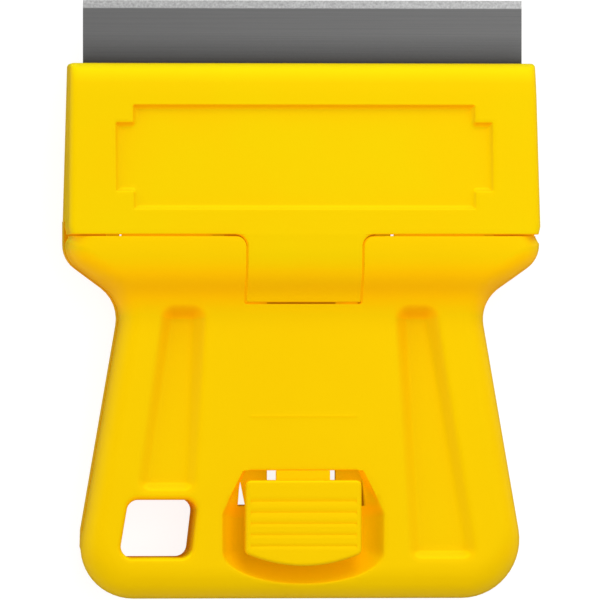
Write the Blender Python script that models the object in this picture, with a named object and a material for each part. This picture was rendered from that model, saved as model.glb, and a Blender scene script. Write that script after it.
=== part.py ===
"""Hand scraper: a moulded handle, a sliding blade guard and a press-in latch button.

X runs across the tool, Y along it with the blade's edge at +Y, and Z up from the handle's flat back.
The handle is two shells. Between them they hold a carrier plate with a single-edge blade on it.
The guard is a wedge-shaped sleeve round the carrier. It slides forward over the blade's edge, and its two
legs run back under the handle's front panel to the latch button. All sizes are in metres.
"""

import math

import bmesh
import bpy
from mathutils import Matrix, Vector

# Lengths along the tool
BLADE_HEIGHT = 0.0190
BLADE_SHOW = 0.0056
SPINE_BACK = 0.00035
SPINE_SETBACK = 0.0017
SEAM_GAP = 0.0003
HANDLE_LENGTH = 0.03195
BACK_SEAM_LEAD = 0.00145  # how far the back shell reaches past the front shell, under the guard

# Thicknesses and the gaps between pieces
GRIP_THICK = 0.0072
SHOULDER_THICK = 0.0094
PARTING_HEIGHT = 0.0035
SHELL_GAP = 0.0003
RUN_GAP = 0.0003
OVERRUN = 0.001
EASE = 0.0001

# Widths from the blade out: the guard's bore and walls, then the handle's shoulders and foot
BLADE_WIDTH = 0.0390
BORE_GAP = 0.0003
GUARD_SIDE_WALL = 0.0011
GUARD_TAPER = 0.00025
SHOULDER_STEP = 0.00005
FOOT_TAPER = 0.00053
CARRIER_SIDE_GAP = 0.0006

# Handle outline: drops from the seam, the waist's half width and corner radii
SHOULDER_DROP = 0.00192
SHOULDER_ROUND = 0.0026
WAIST_HALF = 0.01587
WAIST_DROP = 0.00568
WAIST_ROUND = 0.0034
FOOT_ROUND = 0.0052
NECKING_SHARES = (0.32, 0.44, 0.56)

# Cove from the shoulder down to the grip
COVE_START_DROP = 0.0006
COVE_END_DROP = 0.0070

# Shell walls
EDGE_ROUND = 0.0018
BACK_EDGE_ROUND = 0.0009
SIDE_WALL = 0.0018
ROOF = 0.0018
FLOOR = 0.0016
CAVITY_ROUND = 0.0004
FRONT_WALL = 0.0016
BACK_FRONT_WALL_HEIGHT = 0.0024
LIP_SKIN = 0.0008
LIP_THICK = 0.00065
LIP_HEIGHT = 0.0010
LIP_START_DROP = 0.0085
JACKET = 0.0012

# Finger grooves: half spacings at the top and the end, drop of the top and rises of the ends above the foot
GROOVE_TOP_DROP = 0.0059
LEFT_GROOVE_INNER_TOP = 0.00865
LEFT_GROOVE_OUTER_TOP = 0.0124
LEFT_GROOVE_INNER_END = 0.0095
LEFT_GROOVE_OUTER_END = 0.01465
LEFT_GROOVE_END_RISE = 0.0100
RIGHT_GROOVE_INNER_TOP = 0.0082
RIGHT_GROOVE_OUTER_TOP = 0.01175
RIGHT_GROOVE_INNER_END = 0.0095
RIGHT_GROOVE_OUTER_END = 0.01545
RIGHT_GROOVE_END_RISE = 0.0038
GROOVE_DEPTH = 0.0009
GROOVE_CORNER = 0.0012
GROOVE_RIM_REACH = 0.00025
GROOVE_FLOOR_REACH = 0.0009

# Hang hole, on the left near the foot
HOLE_FOOT_RISE = 0.0037
HOLE_HEIGHT = 0.0051
HOLE_OUTER_TOP = 0.01547
HOLE_OUTER_END = 0.01633
HOLE_INNER_TOP = 0.00935
HOLE_INNER_END = 0.00995
HOLE_CORNER = 0.0010
HOLE_EASE = 0.00045

# Latch button on its neck
PANEL_END_RISE = 0.0114
BUTTON_HALF = 0.00514
BUTTON_SETBACK = 0.00085
BUTTON_SIDE_LENGTH = 0.0065
BUTTON_END_BULGE = 0.0011
BUTTON_CORNER = 0.0004
BUTTON_TOP = 0.00775
BUTTON_BOTTOM = 0.0062
BUTTON_EASE = 0.00025
NECK_HALF = 0.00238
NECK_TOP = 0.0071
NECK_BOTTOM = 0.0063
NECK_GAP = 0.00008
GRIP_LINE_COUNT = 5
GRIP_LINE_FIRST = 0.0018
GRIP_LINE_PITCH = 0.00102
GRIP_LINE_DEPTH = 0.00018
GRIP_LINE_WIDTH = 0.0004
GRIP_LINE_HALF = 0.0047

# Bowl round the button
BOWL_FRONT_HALF = 0.0050
BOWL_HALF = 0.00695
BOWL_FLARE_LENGTH = 0.00385
BOWL_SIDE_LENGTH = 0.0033
BOWL_END_BULGE = 0.0027
BOWL_BOTTOM = 0.0046
BOWL_SLOPE = 0.0011
BOWL_EASE = 0.0003
BOWL_WALL_SHARES = ((0.0, 0.0), (0.35, 0.12), (0.7, 0.4), (0.9, 0.7), (1.0, 1.0))

# Windows in the back shell: under the button, and under the seam, where the carrier has the same
WINDOW_FRONT_HALF = 0.0052
WINDOW_HALF = 0.00575
WINDOW_LEAD = 0.0012
WINDOW_LENGTH = 0.00434
SEAM_WINDOW_INNER = 0.0080
SEAM_WINDOW_OUTER = 0.0161
SEAM_WINDOW_BACK = 0.00085
SEAM_WINDOW_LENGTH = 0.0018

# Guide tabs of the front shell, under the guard's front wall
TAB_INNER = 0.0081
TAB_OUTER = 0.01605
TAB_REACH = 0.00295
TAB_TOP = 0.0074
TAB_THICK = 0.0012

# Guard
GUARD_MOUTH_TOP = 0.0070
GUARD_MOUTH_BOTTOM = 0.0024
GUARD_NOSE_LENGTH = 0.0029
GUARD_NOSE_DROP = 0.0010
GUARD_EDGE_ROUND = 0.0006
GUARD_CORNER = 0.00065
GUARD_REAR_EASE = 0.00015
GUARD_ROOF = 0.0014
GUARD_FLOOR = 0.0012
LIP_DEPTH = 0.0010
MOUTH_SLIT = 0.0009
RECESS_SIDE = 0.0041
RECESS_REAR = 0.00225
RECESS_LENGTH = 0.0093
RECESS_NOTCH = 0.00155
RECESS_DEPTH = 0.0004
HOLD_RIB_THICK = 0.0008
HOLD_RIB_PLACES = (0.0062, 0.0150)

# Tongue and legs of the guard
TONGUE_HALF = 0.0050
TONGUE_LENGTH = 0.00608
TONGUE_BOTTOM = 0.0059
TONGUE_ROOT = 0.0014
TONGUE_ROOT_DIP = 0.0007
TONGUE_CORNER = 0.0003
NOTCH_ROUND = 0.0013
NOTCH_FLARE = 0.0018
NOTCH_GAP = 0.0003
LEG_INNER = 0.0029
LEG_OUTER = 0.0050
LEG_BOTTOM = 0.0041
LEG_TOP = 0.0051
LEG_RISER = 0.0010
LEG_TAIL = 0.0029
TOOTH_TOP = 0.00575
TOOTH_SETBACK = 0.0015
TOOTH_LENGTH = 0.0012
TOOTH_RAMP = 0.0005
SLIDE_TRAVEL = 0.0060
GUIDE_RIB = 0.0010
RAIL_INNER = 0.0036
RAIL_OUTER = 0.0045

# Blade and its folded spine
BLADE_THICK = 0.00025
BLADE_SIDE_SHIFT = 0.00015
BLADE_EDGE_THICK = 0.00003
BLADE_BEVEL = 0.0007
BLADE_NOTCH = 0.0016
BLADE_NOTCH_BACK = 0.0120
BLADE_GAP = 0.00012
SPINE_SIDE_INSET = 0.0025
SPINE_HEIGHT = 0.0042
SPINE_THICK = 0.0010
SPINE_GAP = 0.00008

# Carrier plate
CARRIER_MOUTH_GAP = 0.0003
CARRIER_BOTTOM = 0.0029
CARRIER_NOSE_BOTTOM = 0.0037
CARRIER_THICK_REACH = 0.0065
ROOT_HALF = 0.0172
ROOT_INNER = 0.0068
ROOT_END_HALF = 0.0144
ROOT_CHAMFER_DROP = 0.0020
ROOT_DROP = 0.0041
STUD_RADIUS = 0.00055
STUD_INSET = 0.0010
STUD_RISE = 0.0005

# Pegs of the back shell in sockets of the front shell: half spacings, drops below the seam and a rise
PEG_RADIUS = 0.0009
PEG_GAP = 0.0003
PEG_SHORTFALL = 0.0004
PEG_ROOT_SHARE = 0.75
SOCKET_WALL = 0.0009
SOCKET_SINK = 0.0004
BOSS_RADIUS = 0.0017
ROOT_PEG_PLACE = (0.0114, 0.00285)
GRIP_PEG_PLACE = (0.0125, 0.0135)
FOOT_PEG_PLACE = (0.0138, 0.00295)

# Smoothness of round stretches
ARC_STEPS = 6
SMALL_ARC_STEPS = 3
SMALL_ARC = 0.0009
EDGE_STEPS = 4
BULGE_STEPS = 14
COVE_STEPS = 10
NOSE_STEPS = 4
CIRCLE_STEPS = 20
KEPT_RADIUS_SHARE = 0.15
SMOOTH_ANGLE = math.radians(32.0)

# Half widths
GUARD_BORE_HALF = BLADE_WIDTH / 2 + BORE_GAP
GUARD_REAR_HALF = GUARD_BORE_HALF + GUARD_SIDE_WALL
GUARD_MOUTH_HALF = GUARD_REAR_HALF - GUARD_TAPER
SHOULDER_HALF = GUARD_REAR_HALF + SHOULDER_STEP
FOOT_HALF = SHOULDER_HALF - FOOT_TAPER
CARRIER_HALF = GUARD_BORE_HALF - CARRIER_SIDE_GAP
SPINE_HALF = BLADE_WIDTH / 2 - SPINE_SIDE_INSET
RECESS_HALF = GUARD_REAR_HALF - RECESS_SIDE

# Places along Y, with the whole length centred on the origin
GUARD_LENGTH = SPINE_SETBACK - SEAM_GAP + SPINE_BACK + BLADE_HEIGHT - BLADE_SHOW
TOTAL_LENGTH = HANDLE_LENGTH + SEAM_GAP + GUARD_LENGTH + BLADE_SHOW
FOOT_Y = -TOTAL_LENGTH / 2
SEAM_Y = FOOT_Y + HANDLE_LENGTH
GUARD_REAR_Y = SEAM_Y + SEAM_GAP
MOUTH_Y = GUARD_REAR_Y + GUARD_LENGTH
EDGE_Y = MOUTH_Y + BLADE_SHOW
BACK_SEAM_Y = SEAM_Y + BACK_SEAM_LEAD
GUARD_BACK_REAR_Y = BACK_SEAM_Y + SEAM_GAP
NOSE_Y = MOUTH_Y - GUARD_NOSE_LENGTH
TONGUE_END_Y = GUARD_REAR_Y - TONGUE_LENGTH
PANEL_END_Y = FOOT_Y + PANEL_END_RISE
BUTTON_FRONT_Y = PANEL_END_Y - BUTTON_SETBACK
BUTTON_SIDE_Y = BUTTON_FRONT_Y - BUTTON_SIDE_LENGTH
LEG_TAIL_Y = PANEL_END_Y - LEG_TAIL
TOOTH_FRONT_Y = PANEL_END_Y - TOOTH_SETBACK
RELIEF_Y = TOOTH_FRONT_Y + SLIDE_TRAVEL + RUN_GAP
WINDOW_FRONT_Y = PANEL_END_Y + WINDOW_LEAD
WINDOW_END_Y = WINDOW_FRONT_Y - WINDOW_LENGTH
RUN_END_Y = LEG_TAIL_Y - RUN_GAP
BLADE_REAR_Y = EDGE_Y - BLADE_HEIGHT
SPINE_REAR_Y = BLADE_REAR_Y - SPINE_BACK
CARRIER_FRONT_Y = MOUTH_Y - LIP_DEPTH - CARRIER_MOUTH_GAP
HINGE_Y = PANEL_END_Y - NECK_GAP / 2
HINGE_Z = (NECK_TOP + NECK_BOTTOM) / 2

# Heights
FRONT_BASE = PARTING_HEIGHT + SHELL_GAP / 2
BACK_RIM = PARTING_HEIGHT - SHELL_GAP / 2
REBATE_DEPTH = LIP_SKIN + SHELL_GAP + LIP_THICK + SHELL_GAP
BLADE_Z = SHOULDER_THICK / 2
SEAT_TOP = BLADE_Z - BLADE_THICK / 2 - BLADE_GAP
RELIEF_TOP = TOOTH_TOP + RUN_GAP
SPINE_TOP = BLADE_Z + SPINE_THICK / 2
SPINE_BOTTOM = BLADE_Z - SPINE_THICK / 2


def add_solid(name, form):
    """Turn a bmesh into an object with its faces pointing outwards."""
    bmesh.ops.recalc_face_normals(form, faces=form.faces)
    mesh = bpy.data.meshes.new(name)
    form.to_mesh(mesh)
    form.free()
    solid = bpy.data.objects.new(name, mesh)
    bpy.context.collection.objects.link(solid)
    return solid


def loft(name, rings):
    """Skin a row of closed rings of points, and cap both ends."""
    form = bmesh.new()
    loops = [[form.verts.new(point) for point in ring] for ring in rings]
    for near, far in zip(loops, loops[1:]):
        for index in range(len(near)):
            form.faces.new((near[index - 1], near[index], far[index], far[index - 1]))
    form.faces.new(loops[0])
    form.faces.new(loops[-1])
    return add_solid(name, form)


def level(outline, height):
    """Lift a plan outline to one height, or to a height that changes along Y."""
    return [(x, y, height(y) if callable(height) else height) for x, y in outline]


def prism(name, outline, low, high):
    return loft(name, [level(outline, low), level(outline, high)])


def cross_prism(name, profile, left, right):
    """Extrude a side profile of (y, z) points across the tool."""
    return loft(name, [[(x, y, z) for y, z in profile] for x in (left, right)])


def block(name, left, right, rear, front, low, high):
    outline = [(left, rear), (left, front), (right, front), (right, rear)]
    return prism(name, outline, low, high)


def circle(x, y, radius):
    turns = [2 * math.pi * step / CIRCLE_STEPS for step in range(CIRCLE_STEPS)]
    return [(x + radius * math.cos(turn), y - radius * math.sin(turn)) for turn in turns]


def peg(name, x, y, radius, low, high):
    return prism(name, circle(x, y, radius), low, high)


def inward(way):
    """The side of a clockwise outline's stretch on which its inside lies."""
    return Vector((way.y, -way.x))


def rounded(corners, inset=0.0, closed=True):
    """Points of a clockwise outline of (x, y, radius) corners, drawn in by inset."""
    places = [Vector(corner[:2]) for corner in corners]
    stretches = zip(places, places[1:] + places[:1])
    ways = [(end - start).normalized() for start, end in stretches]
    outline = []
    for index, place in enumerate(places):
        if not closed and index in (0, len(places) - 1):
            way = ways[0] if index == 0 else ways[index - 1]
            outline.append(tuple(place + inward(way) * inset))
            continue
        outline += rounded_corner(place, ways[index - 1], ways[index], corners[index][2], inset)
    return outline


def rounded_corner(place, before, after, radius, inset):
    """Points round one corner of an outline between two ways."""
    turn = math.atan2(before.x * after.y - before.y * after.x, before.dot(after))
    sides = inward(before) + inward(after)
    corner = place + sides * (inset / (1 + inward(before).dot(inward(after))))
    if radius == 0:
        return [tuple(corner)]
    steps = SMALL_ARC_STEPS if radius < SMALL_ARC else ARC_STEPS
    side = -1 if turn > 0 else 1
    radius = max(radius - side * inset, radius * KEPT_RADIUS_SHARE)
    start = corner - before * radius * math.tan(abs(turn) / 2)
    centre = start + inward(before) * side * radius
    arm = start - centre
    points = []
    for step in range(steps + 1):
        angle = turn * step / steps
        sine = math.sin(angle)
        cosine = math.cos(angle)
        points.append((centre.x + arm.x * cosine - arm.y * sine, centre.y + arm.x * sine + arm.y * cosine))
    return points


def mirrored(half):
    """A clockwise row of corners on the right, and the same on the left in reverse."""
    return half + [(-corner[0],) + tuple(corner[1:]) for corner in reversed(half)]


def apply(solid, other, operation):
    """Combine a solid with another one, which is then removed."""
    step = solid.modifiers.new(operation.title(), "BOOLEAN")
    step.operation = operation
    step.solver = "EXACT"
    step.object = other
    bpy.context.view_layer.update()
    evaluated = solid.evaluated_get(bpy.context.evaluated_depsgraph_get())
    mesh = bpy.data.meshes.new_from_object(evaluated)
    solid.modifiers.remove(step)
    old_mesh = solid.data
    solid.data = mesh
    bpy.data.meshes.remove(old_mesh)
    bpy.data.objects.remove(other)


def cut(solid, tool):
    apply(solid, tool, "DIFFERENCE")


def join(solid, piece):
    apply(solid, piece, "UNION")


def handle_top(y):
    """Height of the handle's front: shoulder, cove and grip."""
    share = (SEAM_Y - COVE_START_DROP - y) / (COVE_END_DROP - COVE_START_DROP)
    share = min(max(share, 0.0), 1.0)
    ease = share * share * (3 - 2 * share)
    return SHOULDER_THICK - (SHOULDER_THICK - GRIP_THICK) * ease


def handle_ceiling(y):
    return handle_top(y) - ROOF


def handle_chain(front, inset):
    """The handle's outline from its front right corner round the foot to its front left corner."""
    shoulder = Vector((SHOULDER_HALF, SEAM_Y - SHOULDER_DROP))
    waist = Vector((WAIST_HALF, SEAM_Y - WAIST_DROP))
    half = [(SHOULDER_HALF, front, 0.0), (*shoulder, SHOULDER_ROUND)]
    half += [(*shoulder.lerp(waist, share), 0.0) for share in NECKING_SHARES]
    half += [(*waist, WAIST_ROUND), (FOOT_HALF, FOOT_Y, FOOT_ROUND)]
    return rounded(mirrored(half), inset, closed=False)


def handle_form(name, front, inset, base, surface, edge_round):
    """The handle's outline as a solid, from a flat face at base to a surface with rounded edges."""
    side = 1 if surface(FOOT_Y) > base else -1
    rings = [level(handle_chain(front, inset), base)]
    for step in range(EDGE_STEPS + 1):
        angle = math.pi / 2 * step / EDGE_STEPS
        chain = handle_chain(front, inset + edge_round * (1 - math.cos(angle)))
        drop = side * edge_round * (1 - math.sin(angle))
        rings.append([(x, y, surface(y) - drop) for x, y in chain])
    form = bmesh.new()
    loops = [[form.verts.new(point) for point in ring] for ring in rings]
    count = len(loops[0])
    for near, far in zip(loops, loops[1:]):
        for index in range(count - 1):
            form.faces.new((near[index], near[index + 1], far[index + 1], far[index]))
    top = loops[-1]
    for index in range(count // 2 - 1):
        form.faces.new((top[index], top[index + 1], top[-index - 2], top[-index - 1]))
    form.faces.new(loops[0])
    form.faces.new([loop[0] for loop in loops] + [loop[-1] for loop in reversed(loops)])
    return add_solid(name, form)


def trim_front(solid, front):
    """Cut a handle-wide solid off square at a place along Y."""
    cut(solid, block("trim", -SHOULDER_HALF - OVERRUN, SHOULDER_HALF + OVERRUN, front,
                     BACK_SEAM_Y + OVERRUN, -OVERRUN, SHOULDER_THICK + OVERRUN))


def rim_band(name, outer, inner, low, high):
    """A band that follows the handle's outline between two insets, below the waist."""
    band = prism(name, handle_chain(SEAM_Y, outer), low, high)
    cut(band, prism("inside", handle_chain(SEAM_Y, inner), low - OVERRUN, high + OVERRUN))
    trim_front(band, SEAM_Y - LIP_START_DROP)
    return band


def hole_outline(inset):
    end = FOOT_Y + HOLE_FOOT_RISE
    top = end + HOLE_HEIGHT
    corners = [(-HOLE_OUTER_TOP, top), (-HOLE_INNER_TOP, top)]
    corners += [(-HOLE_INNER_END, end), (-HOLE_OUTER_END, end)]
    return rounded([(x, y, HOLE_CORNER) for x, y in corners], inset)


def bowl_outline(inset, front):
    """The bowl's rim: a straight front edge, flared sides and a half ellipse at the end."""
    flare_y = PANEL_END_Y - BOWL_FLARE_LENGTH
    side_y = flare_y - BOWL_SIDE_LENGTH
    half = BOWL_HALF - inset
    outline = [(-half, flare_y), (inset - BOWL_FRONT_HALF, front), (BOWL_FRONT_HALF - inset, front)]
    outline.append((half, flare_y))
    for step in range(BULGE_STEPS + 1):
        angle = math.pi * step / BULGE_STEPS
        outline.append((half * math.cos(angle), side_y - (BOWL_END_BULGE - inset) * math.sin(angle)))
    return outline


def left_groove_corners():
    """Corners of the short finger groove, clockwise."""
    top = SEAM_Y - GROOVE_TOP_DROP
    end = FOOT_Y + LEFT_GROOVE_END_RISE
    corners = [(-LEFT_GROOVE_OUTER_TOP, top), (-LEFT_GROOVE_INNER_TOP, top)]
    corners += [(-LEFT_GROOVE_INNER_END, end), (-LEFT_GROOVE_OUTER_END, end)]
    return [(x, y, GROOVE_CORNER) for x, y in corners]


def right_groove_corners():
    """Corners of the long finger groove, clockwise."""
    top = SEAM_Y - GROOVE_TOP_DROP
    end = FOOT_Y + RIGHT_GROOVE_END_RISE
    corners = [(RIGHT_GROOVE_INNER_TOP, top), (RIGHT_GROOVE_OUTER_TOP, top)]
    corners += [(RIGHT_GROOVE_OUTER_END, end), (RIGHT_GROOVE_INNER_END, end)]
    return [(x, y, GROOVE_CORNER) for x, y in corners]


def groove(name, corners):
    """A finger groove with sloped walls, as a cutter."""
    rim = rounded(corners, -GROOVE_RIM_REACH)
    rings = [level(rim, GRIP_THICK + OVERRUN), level(rim, GRIP_THICK)]
    rings.append(level(rounded(corners, GROOVE_FLOOR_REACH), GRIP_THICK - GROOVE_DEPTH))
    return loft(name, rings)


def notch_corners(half, end, line, corner, flare_round):
    """The notch in the panel or the tongue in it, with a flare where it meets the seam."""
    half_row = [(half + NOTCH_FLARE, line + TONGUE_ROOT, 0.0), (half + NOTCH_FLARE, line, 0.0)]
    half_row += [(half, line, flare_round), (half, end, corner)]
    return rounded(mirrored(half_row))


def peg_places():
    """The pegs at the root of the carrier, at the grip and at the foot."""
    places = []
    for x, drop in (ROOT_PEG_PLACE, GRIP_PEG_PLACE):
        places += [(-x, SEAM_Y - drop), (x, SEAM_Y - drop)]
    places.append((FOOT_PEG_PLACE[0], FOOT_Y + FOOT_PEG_PLACE[1]))
    return places


def is_root(y):
    return y > SEAM_Y - GRIP_PEG_PLACE[1]


def front_cavity():
    """The hollow of the front shell, with the walls that stand in it left out."""
    cavity = handle_form("cavity", SEAM_Y, SIDE_WALL, FRONT_BASE - OVERRUN, handle_ceiling, CAVITY_ROUND)
    trim_front(cavity, SEAM_Y - FRONT_WALL)
    low = FRONT_BASE - OVERRUN - EASE
    high = GRIP_THICK
    cut(cavity, prism("hole wall", hole_outline(-JACKET), low, high))
    cut(cavity, prism("bowl wall", bowl_outline(-JACKET, PANEL_END_Y + JACKET), low, high))
    for side in (-1, 1):
        near = side * (LEG_OUTER + RUN_GAP)
        far = near + side * GUIDE_RIB
        rear = PANEL_END_Y + JACKET / 2
        cut(cavity, block("guide", min(near, far), max(near, far), rear, SEAM_Y, low, SHOULDER_THICK))
    for x, y in peg_places():
        foot = SEAT_TOP + RUN_GAP if is_root(y) else low
        radius = PEG_RADIUS + PEG_GAP + SOCKET_WALL
        cut(cavity, peg("socket", x, y, radius, foot, SHOULDER_THICK))
    return cavity


def build_front_shell():
    """The front moulding of the handle, with its bowl, grooves, hang hole and the notch for the tongue."""
    shell = handle_form("handle_front_shell", SEAM_Y, 0.0, FRONT_BASE, handle_top, EDGE_ROUND)
    cut(shell, front_cavity())
    cut_bowl(shell)
    low = FRONT_BASE - OVERRUN
    notch_line = SEAM_Y + EASE / 2
    notch = notch_corners(TONGUE_HALF + NOTCH_GAP, TONGUE_END_Y - NOTCH_GAP, notch_line, TONGUE_CORNER,
                          NOTCH_ROUND)
    cut(shell, prism("notch", notch, low, SHOULDER_THICK + OVERRUN))
    cut(shell, groove("left groove", left_groove_corners()))
    cut(shell, groove("right groove", right_groove_corners()))
    rings = [level(hole_outline(-HOLE_EASE), GRIP_THICK + OVERRUN)]
    rings.append(level(hole_outline(-HOLE_EASE), GRIP_THICK))
    rings += [level(hole_outline(0.0), GRIP_THICK - HOLE_EASE), level(hole_outline(0.0), low)]
    cut(shell, loft("hole", rings))
    cut(shell, rim_band("rebate", LIP_SKIN, REBATE_DEPTH, low, FRONT_BASE + LIP_HEIGHT))
    for side in (-1, 1):
        near = side * (ROOT_INNER - RUN_GAP)
        far = side * (ROOT_HALF + RUN_GAP)
        cut(shell, block("root window", min(near, far), max(near, far), SEAM_Y - FRONT_WALL - OVERRUN,
                         SEAM_Y + OVERRUN, low, SEAT_TOP + RUN_GAP))
        near = side * TAB_INNER
        far = side * TAB_OUTER
        join(shell, block("tab", min(near, far), max(near, far), SEAM_Y - FRONT_WALL / 2,
                          SEAM_Y + TAB_REACH, TAB_TOP - TAB_THICK, TAB_TOP))
    for x, y in peg_places():
        cut(shell, peg("socket bore", x, y, PEG_RADIUS + PEG_GAP, low, socket_top(y)))
    return shell


def socket_top(y):
    return handle_ceiling(y) + SOCKET_SINK


def cut_bowl(shell):
    """Sink the bowl into the shell, and open its front part and the run of the guard's legs."""
    depth = GRIP_THICK - BOWL_BOTTOM
    rings = [level(bowl_outline(-BOWL_EASE, PANEL_END_Y), GRIP_THICK + OVERRUN)]
    for depth_share, inset_share in BOWL_WALL_SHARES:
        inset = BOWL_SLOPE * inset_share - BOWL_EASE * (1 - inset_share)
        rings.append(level(bowl_outline(inset, PANEL_END_Y), GRIP_THICK - depth * depth_share))
    cut(shell, loft("bowl", rings))
    low = FRONT_BASE - OVERRUN
    cut(shell, block("throat", -WINDOW_HALF, WINDOW_HALF, RUN_END_Y, PANEL_END_Y - EASE, low,
                     BOWL_BOTTOM + EASE))
    run_half = LEG_OUTER + RUN_GAP
    cut(shell, block("run", -run_half, run_half, RUN_END_Y + EASE / 2, RELIEF_Y, low, RELIEF_TOP))


def build_back_shell():
    """The back moulding: a tray with windows, pegs, bosses under the carrier and rails under the legs."""
    shell = handle_form("handle_back_shell", BACK_SEAM_Y, 0.0, BACK_RIM, lambda y: 0.0, BACK_EDGE_ROUND)
    cavity = handle_form("tray", BACK_SEAM_Y, SIDE_WALL, BACK_RIM + OVERRUN, lambda y: FLOOR, CAVITY_ROUND)
    trim_front(cavity, BACK_SEAM_Y - FRONT_WALL)
    cut(cavity, prism("hole wall", hole_outline(-JACKET), 0.0, SHOULDER_THICK))
    for side in (-1, 1):
        near = side * RAIL_INNER
        far = side * RAIL_OUTER
        cut(cavity, block("rail", min(near, far), max(near, far), WINDOW_FRONT_Y + RUN_GAP,
                          SEAM_Y - FRONT_WALL, 0.0, SHOULDER_THICK))
    cut(shell, cavity)
    reach = SHOULDER_HALF - SIDE_WALL
    cut(shell, block("front wall top", -reach, reach, BACK_SEAM_Y - FRONT_WALL - OVERRUN,
                     BACK_SEAM_Y + OVERRUN, BACK_FRONT_WALL_HEIGHT, SHOULDER_THICK))
    cut(shell, prism("hole", hole_outline(0.0), -OVERRUN, SHOULDER_THICK))
    window = mirrored([(WINDOW_FRONT_HALF, WINDOW_FRONT_Y), (WINDOW_HALF, WINDOW_END_Y)])
    cut(shell, prism("window", window, -OVERRUN, SHOULDER_THICK))
    for side in (-1, 1):
        cut(shell, seam_window(side, BACK_RIM))
    lip_inset = LIP_SKIN + SHELL_GAP
    join(shell, rim_band("lip", lip_inset, lip_inset + LIP_THICK, BACK_RIM - LIP_HEIGHT,
                         FRONT_BASE + LIP_HEIGHT - SHELL_GAP))
    for x, y in peg_places():
        if is_root(y):
            join(shell, peg("boss", x, y, BOSS_RADIUS, FLOOR / 2, CARRIER_BOTTOM - RUN_GAP))
        else:
            join(shell, peg("boss", x, y, BOSS_RADIUS, FLOOR / 2, BACK_RIM))
        join(shell, peg("peg", x, y, PEG_RADIUS, FLOOR * PEG_ROOT_SHARE, socket_top(y) - PEG_SHORTFALL))
    return shell


def seam_window(side, high):
    """A window below the seam, beside and under a guide tab."""
    near = side * SEAM_WINDOW_INNER
    far = side * SEAM_WINDOW_OUTER
    rear = SEAM_Y - SEAM_WINDOW_BACK
    return block("seam window", min(near, far), max(near, far), rear, rear + SEAM_WINDOW_LENGTH, -OVERRUN,
                 high + OVERRUN)


def guard_top(y):
    """Height of the guard's front: a slope, then a rounder nose."""
    nose_top = GUARD_MOUTH_TOP + GUARD_NOSE_DROP
    slope = (SHOULDER_THICK - nose_top) / (NOSE_Y - GUARD_REAR_Y)
    if y <= NOSE_Y:
        return nose_top + slope * (NOSE_Y - y)
    share = (y - NOSE_Y) / GUARD_NOSE_LENGTH
    straight = slope * GUARD_NOSE_LENGTH
    return nose_top - straight * share - (GUARD_NOSE_DROP - straight) * share * share


def guard_bottom(y):
    return GUARD_MOUTH_BOTTOM * (y - GUARD_REAR_Y) / GUARD_LENGTH


def guard_half(y):
    share = (y - GUARD_REAR_Y) / GUARD_LENGTH
    return GUARD_REAR_HALF + (GUARD_MOUTH_HALF - GUARD_REAR_HALF) * share


def guard_ring(y, inset):
    """One cross section of the guard with rounded corners, drawn in all round by inset."""
    half = guard_half(y) - inset
    high = guard_top(y) - inset
    low = guard_bottom(y) + inset
    corners = [(-half, high), (half, high), (half, low), (-half, low)]
    outline = rounded([(x, z, GUARD_EDGE_ROUND) for x, z in corners])
    return [(x, y, z) for x, z in outline]


def guard_body():
    """The guard's outer wedge."""
    rings = [guard_ring(GUARD_REAR_Y, GUARD_REAR_EASE), guard_ring(GUARD_REAR_Y + GUARD_REAR_EASE, 0.0)]
    for step in range(NOSE_STEPS):
        rings.append(guard_ring(NOSE_Y + (GUARD_NOSE_LENGTH - GUARD_CORNER) * step / NOSE_STEPS, 0.0))
    for step in range(EDGE_STEPS + 1):
        angle = math.pi / 2 * step / EDGE_STEPS
        y = MOUTH_Y - GUARD_CORNER * (1 - math.sin(angle))
        rings.append(guard_ring(y, GUARD_CORNER * (1 - math.cos(angle))))
    return loft("blade_guard", rings)


def guard_bore():
    """The hollow that slides over the carrier, as a cutter."""
    rings = []
    for y in (GUARD_REAR_Y - OVERRUN, NOSE_Y, MOUTH_Y - LIP_DEPTH):
        low = guard_bottom(y) + GUARD_FLOOR
        high = guard_top(y) - GUARD_ROOF
        outline = [(-GUARD_BORE_HALF, high), (GUARD_BORE_HALF, high), (GUARD_BORE_HALF, low)]
        outline.append((-GUARD_BORE_HALF, low))
        rings.append([(x, y, z) for x, z in outline])
    return loft("bore", rings)


def recess_outline():
    """The sunk field on the guard's front, with a notch in each corner."""
    rear = GUARD_REAR_Y + RECESS_REAR
    front = rear + RECESS_LENGTH
    half = RECESS_HALF
    inner = half - RECESS_NOTCH
    right = [(inner, front), (inner, front - RECESS_NOTCH), (half, front - RECESS_NOTCH)]
    right += [(half, rear + RECESS_NOTCH), (inner, rear + RECESS_NOTCH), (inner, rear)]
    return mirrored(right)


def tongue():
    """The guard's tongue, which lies flush in the handle's notch and follows its cove."""
    line = GUARD_REAR_Y + EASE / 2
    plan = notch_corners(TONGUE_HALF, TONGUE_END_Y, line, TONGUE_CORNER, NOTCH_ROUND + NOTCH_GAP)
    plate = prism("tongue", plan, TONGUE_BOTTOM, SHOULDER_THICK + OVERRUN)
    rear = TONGUE_END_Y - OVERRUN
    front = GUARD_REAR_Y + TONGUE_ROOT + OVERRUN
    profile = [(front, SHOULDER_THICK + 2 * OVERRUN), (rear, SHOULDER_THICK + 2 * OVERRUN)]
    for step in range(COVE_STEPS + 1):
        y = TONGUE_END_Y - OVERRUN + (TONGUE_LENGTH + OVERRUN) * step / COVE_STEPS
        profile.append((y, handle_top(y)))
    profile.append((front, SHOULDER_THICK - TONGUE_ROOT_DIP * (1 + OVERRUN / TONGUE_ROOT)))
    half = TONGUE_HALF + NOTCH_FLARE + OVERRUN
    cut(plate, cross_prism("above", profile, -half, half))
    return plate


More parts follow.
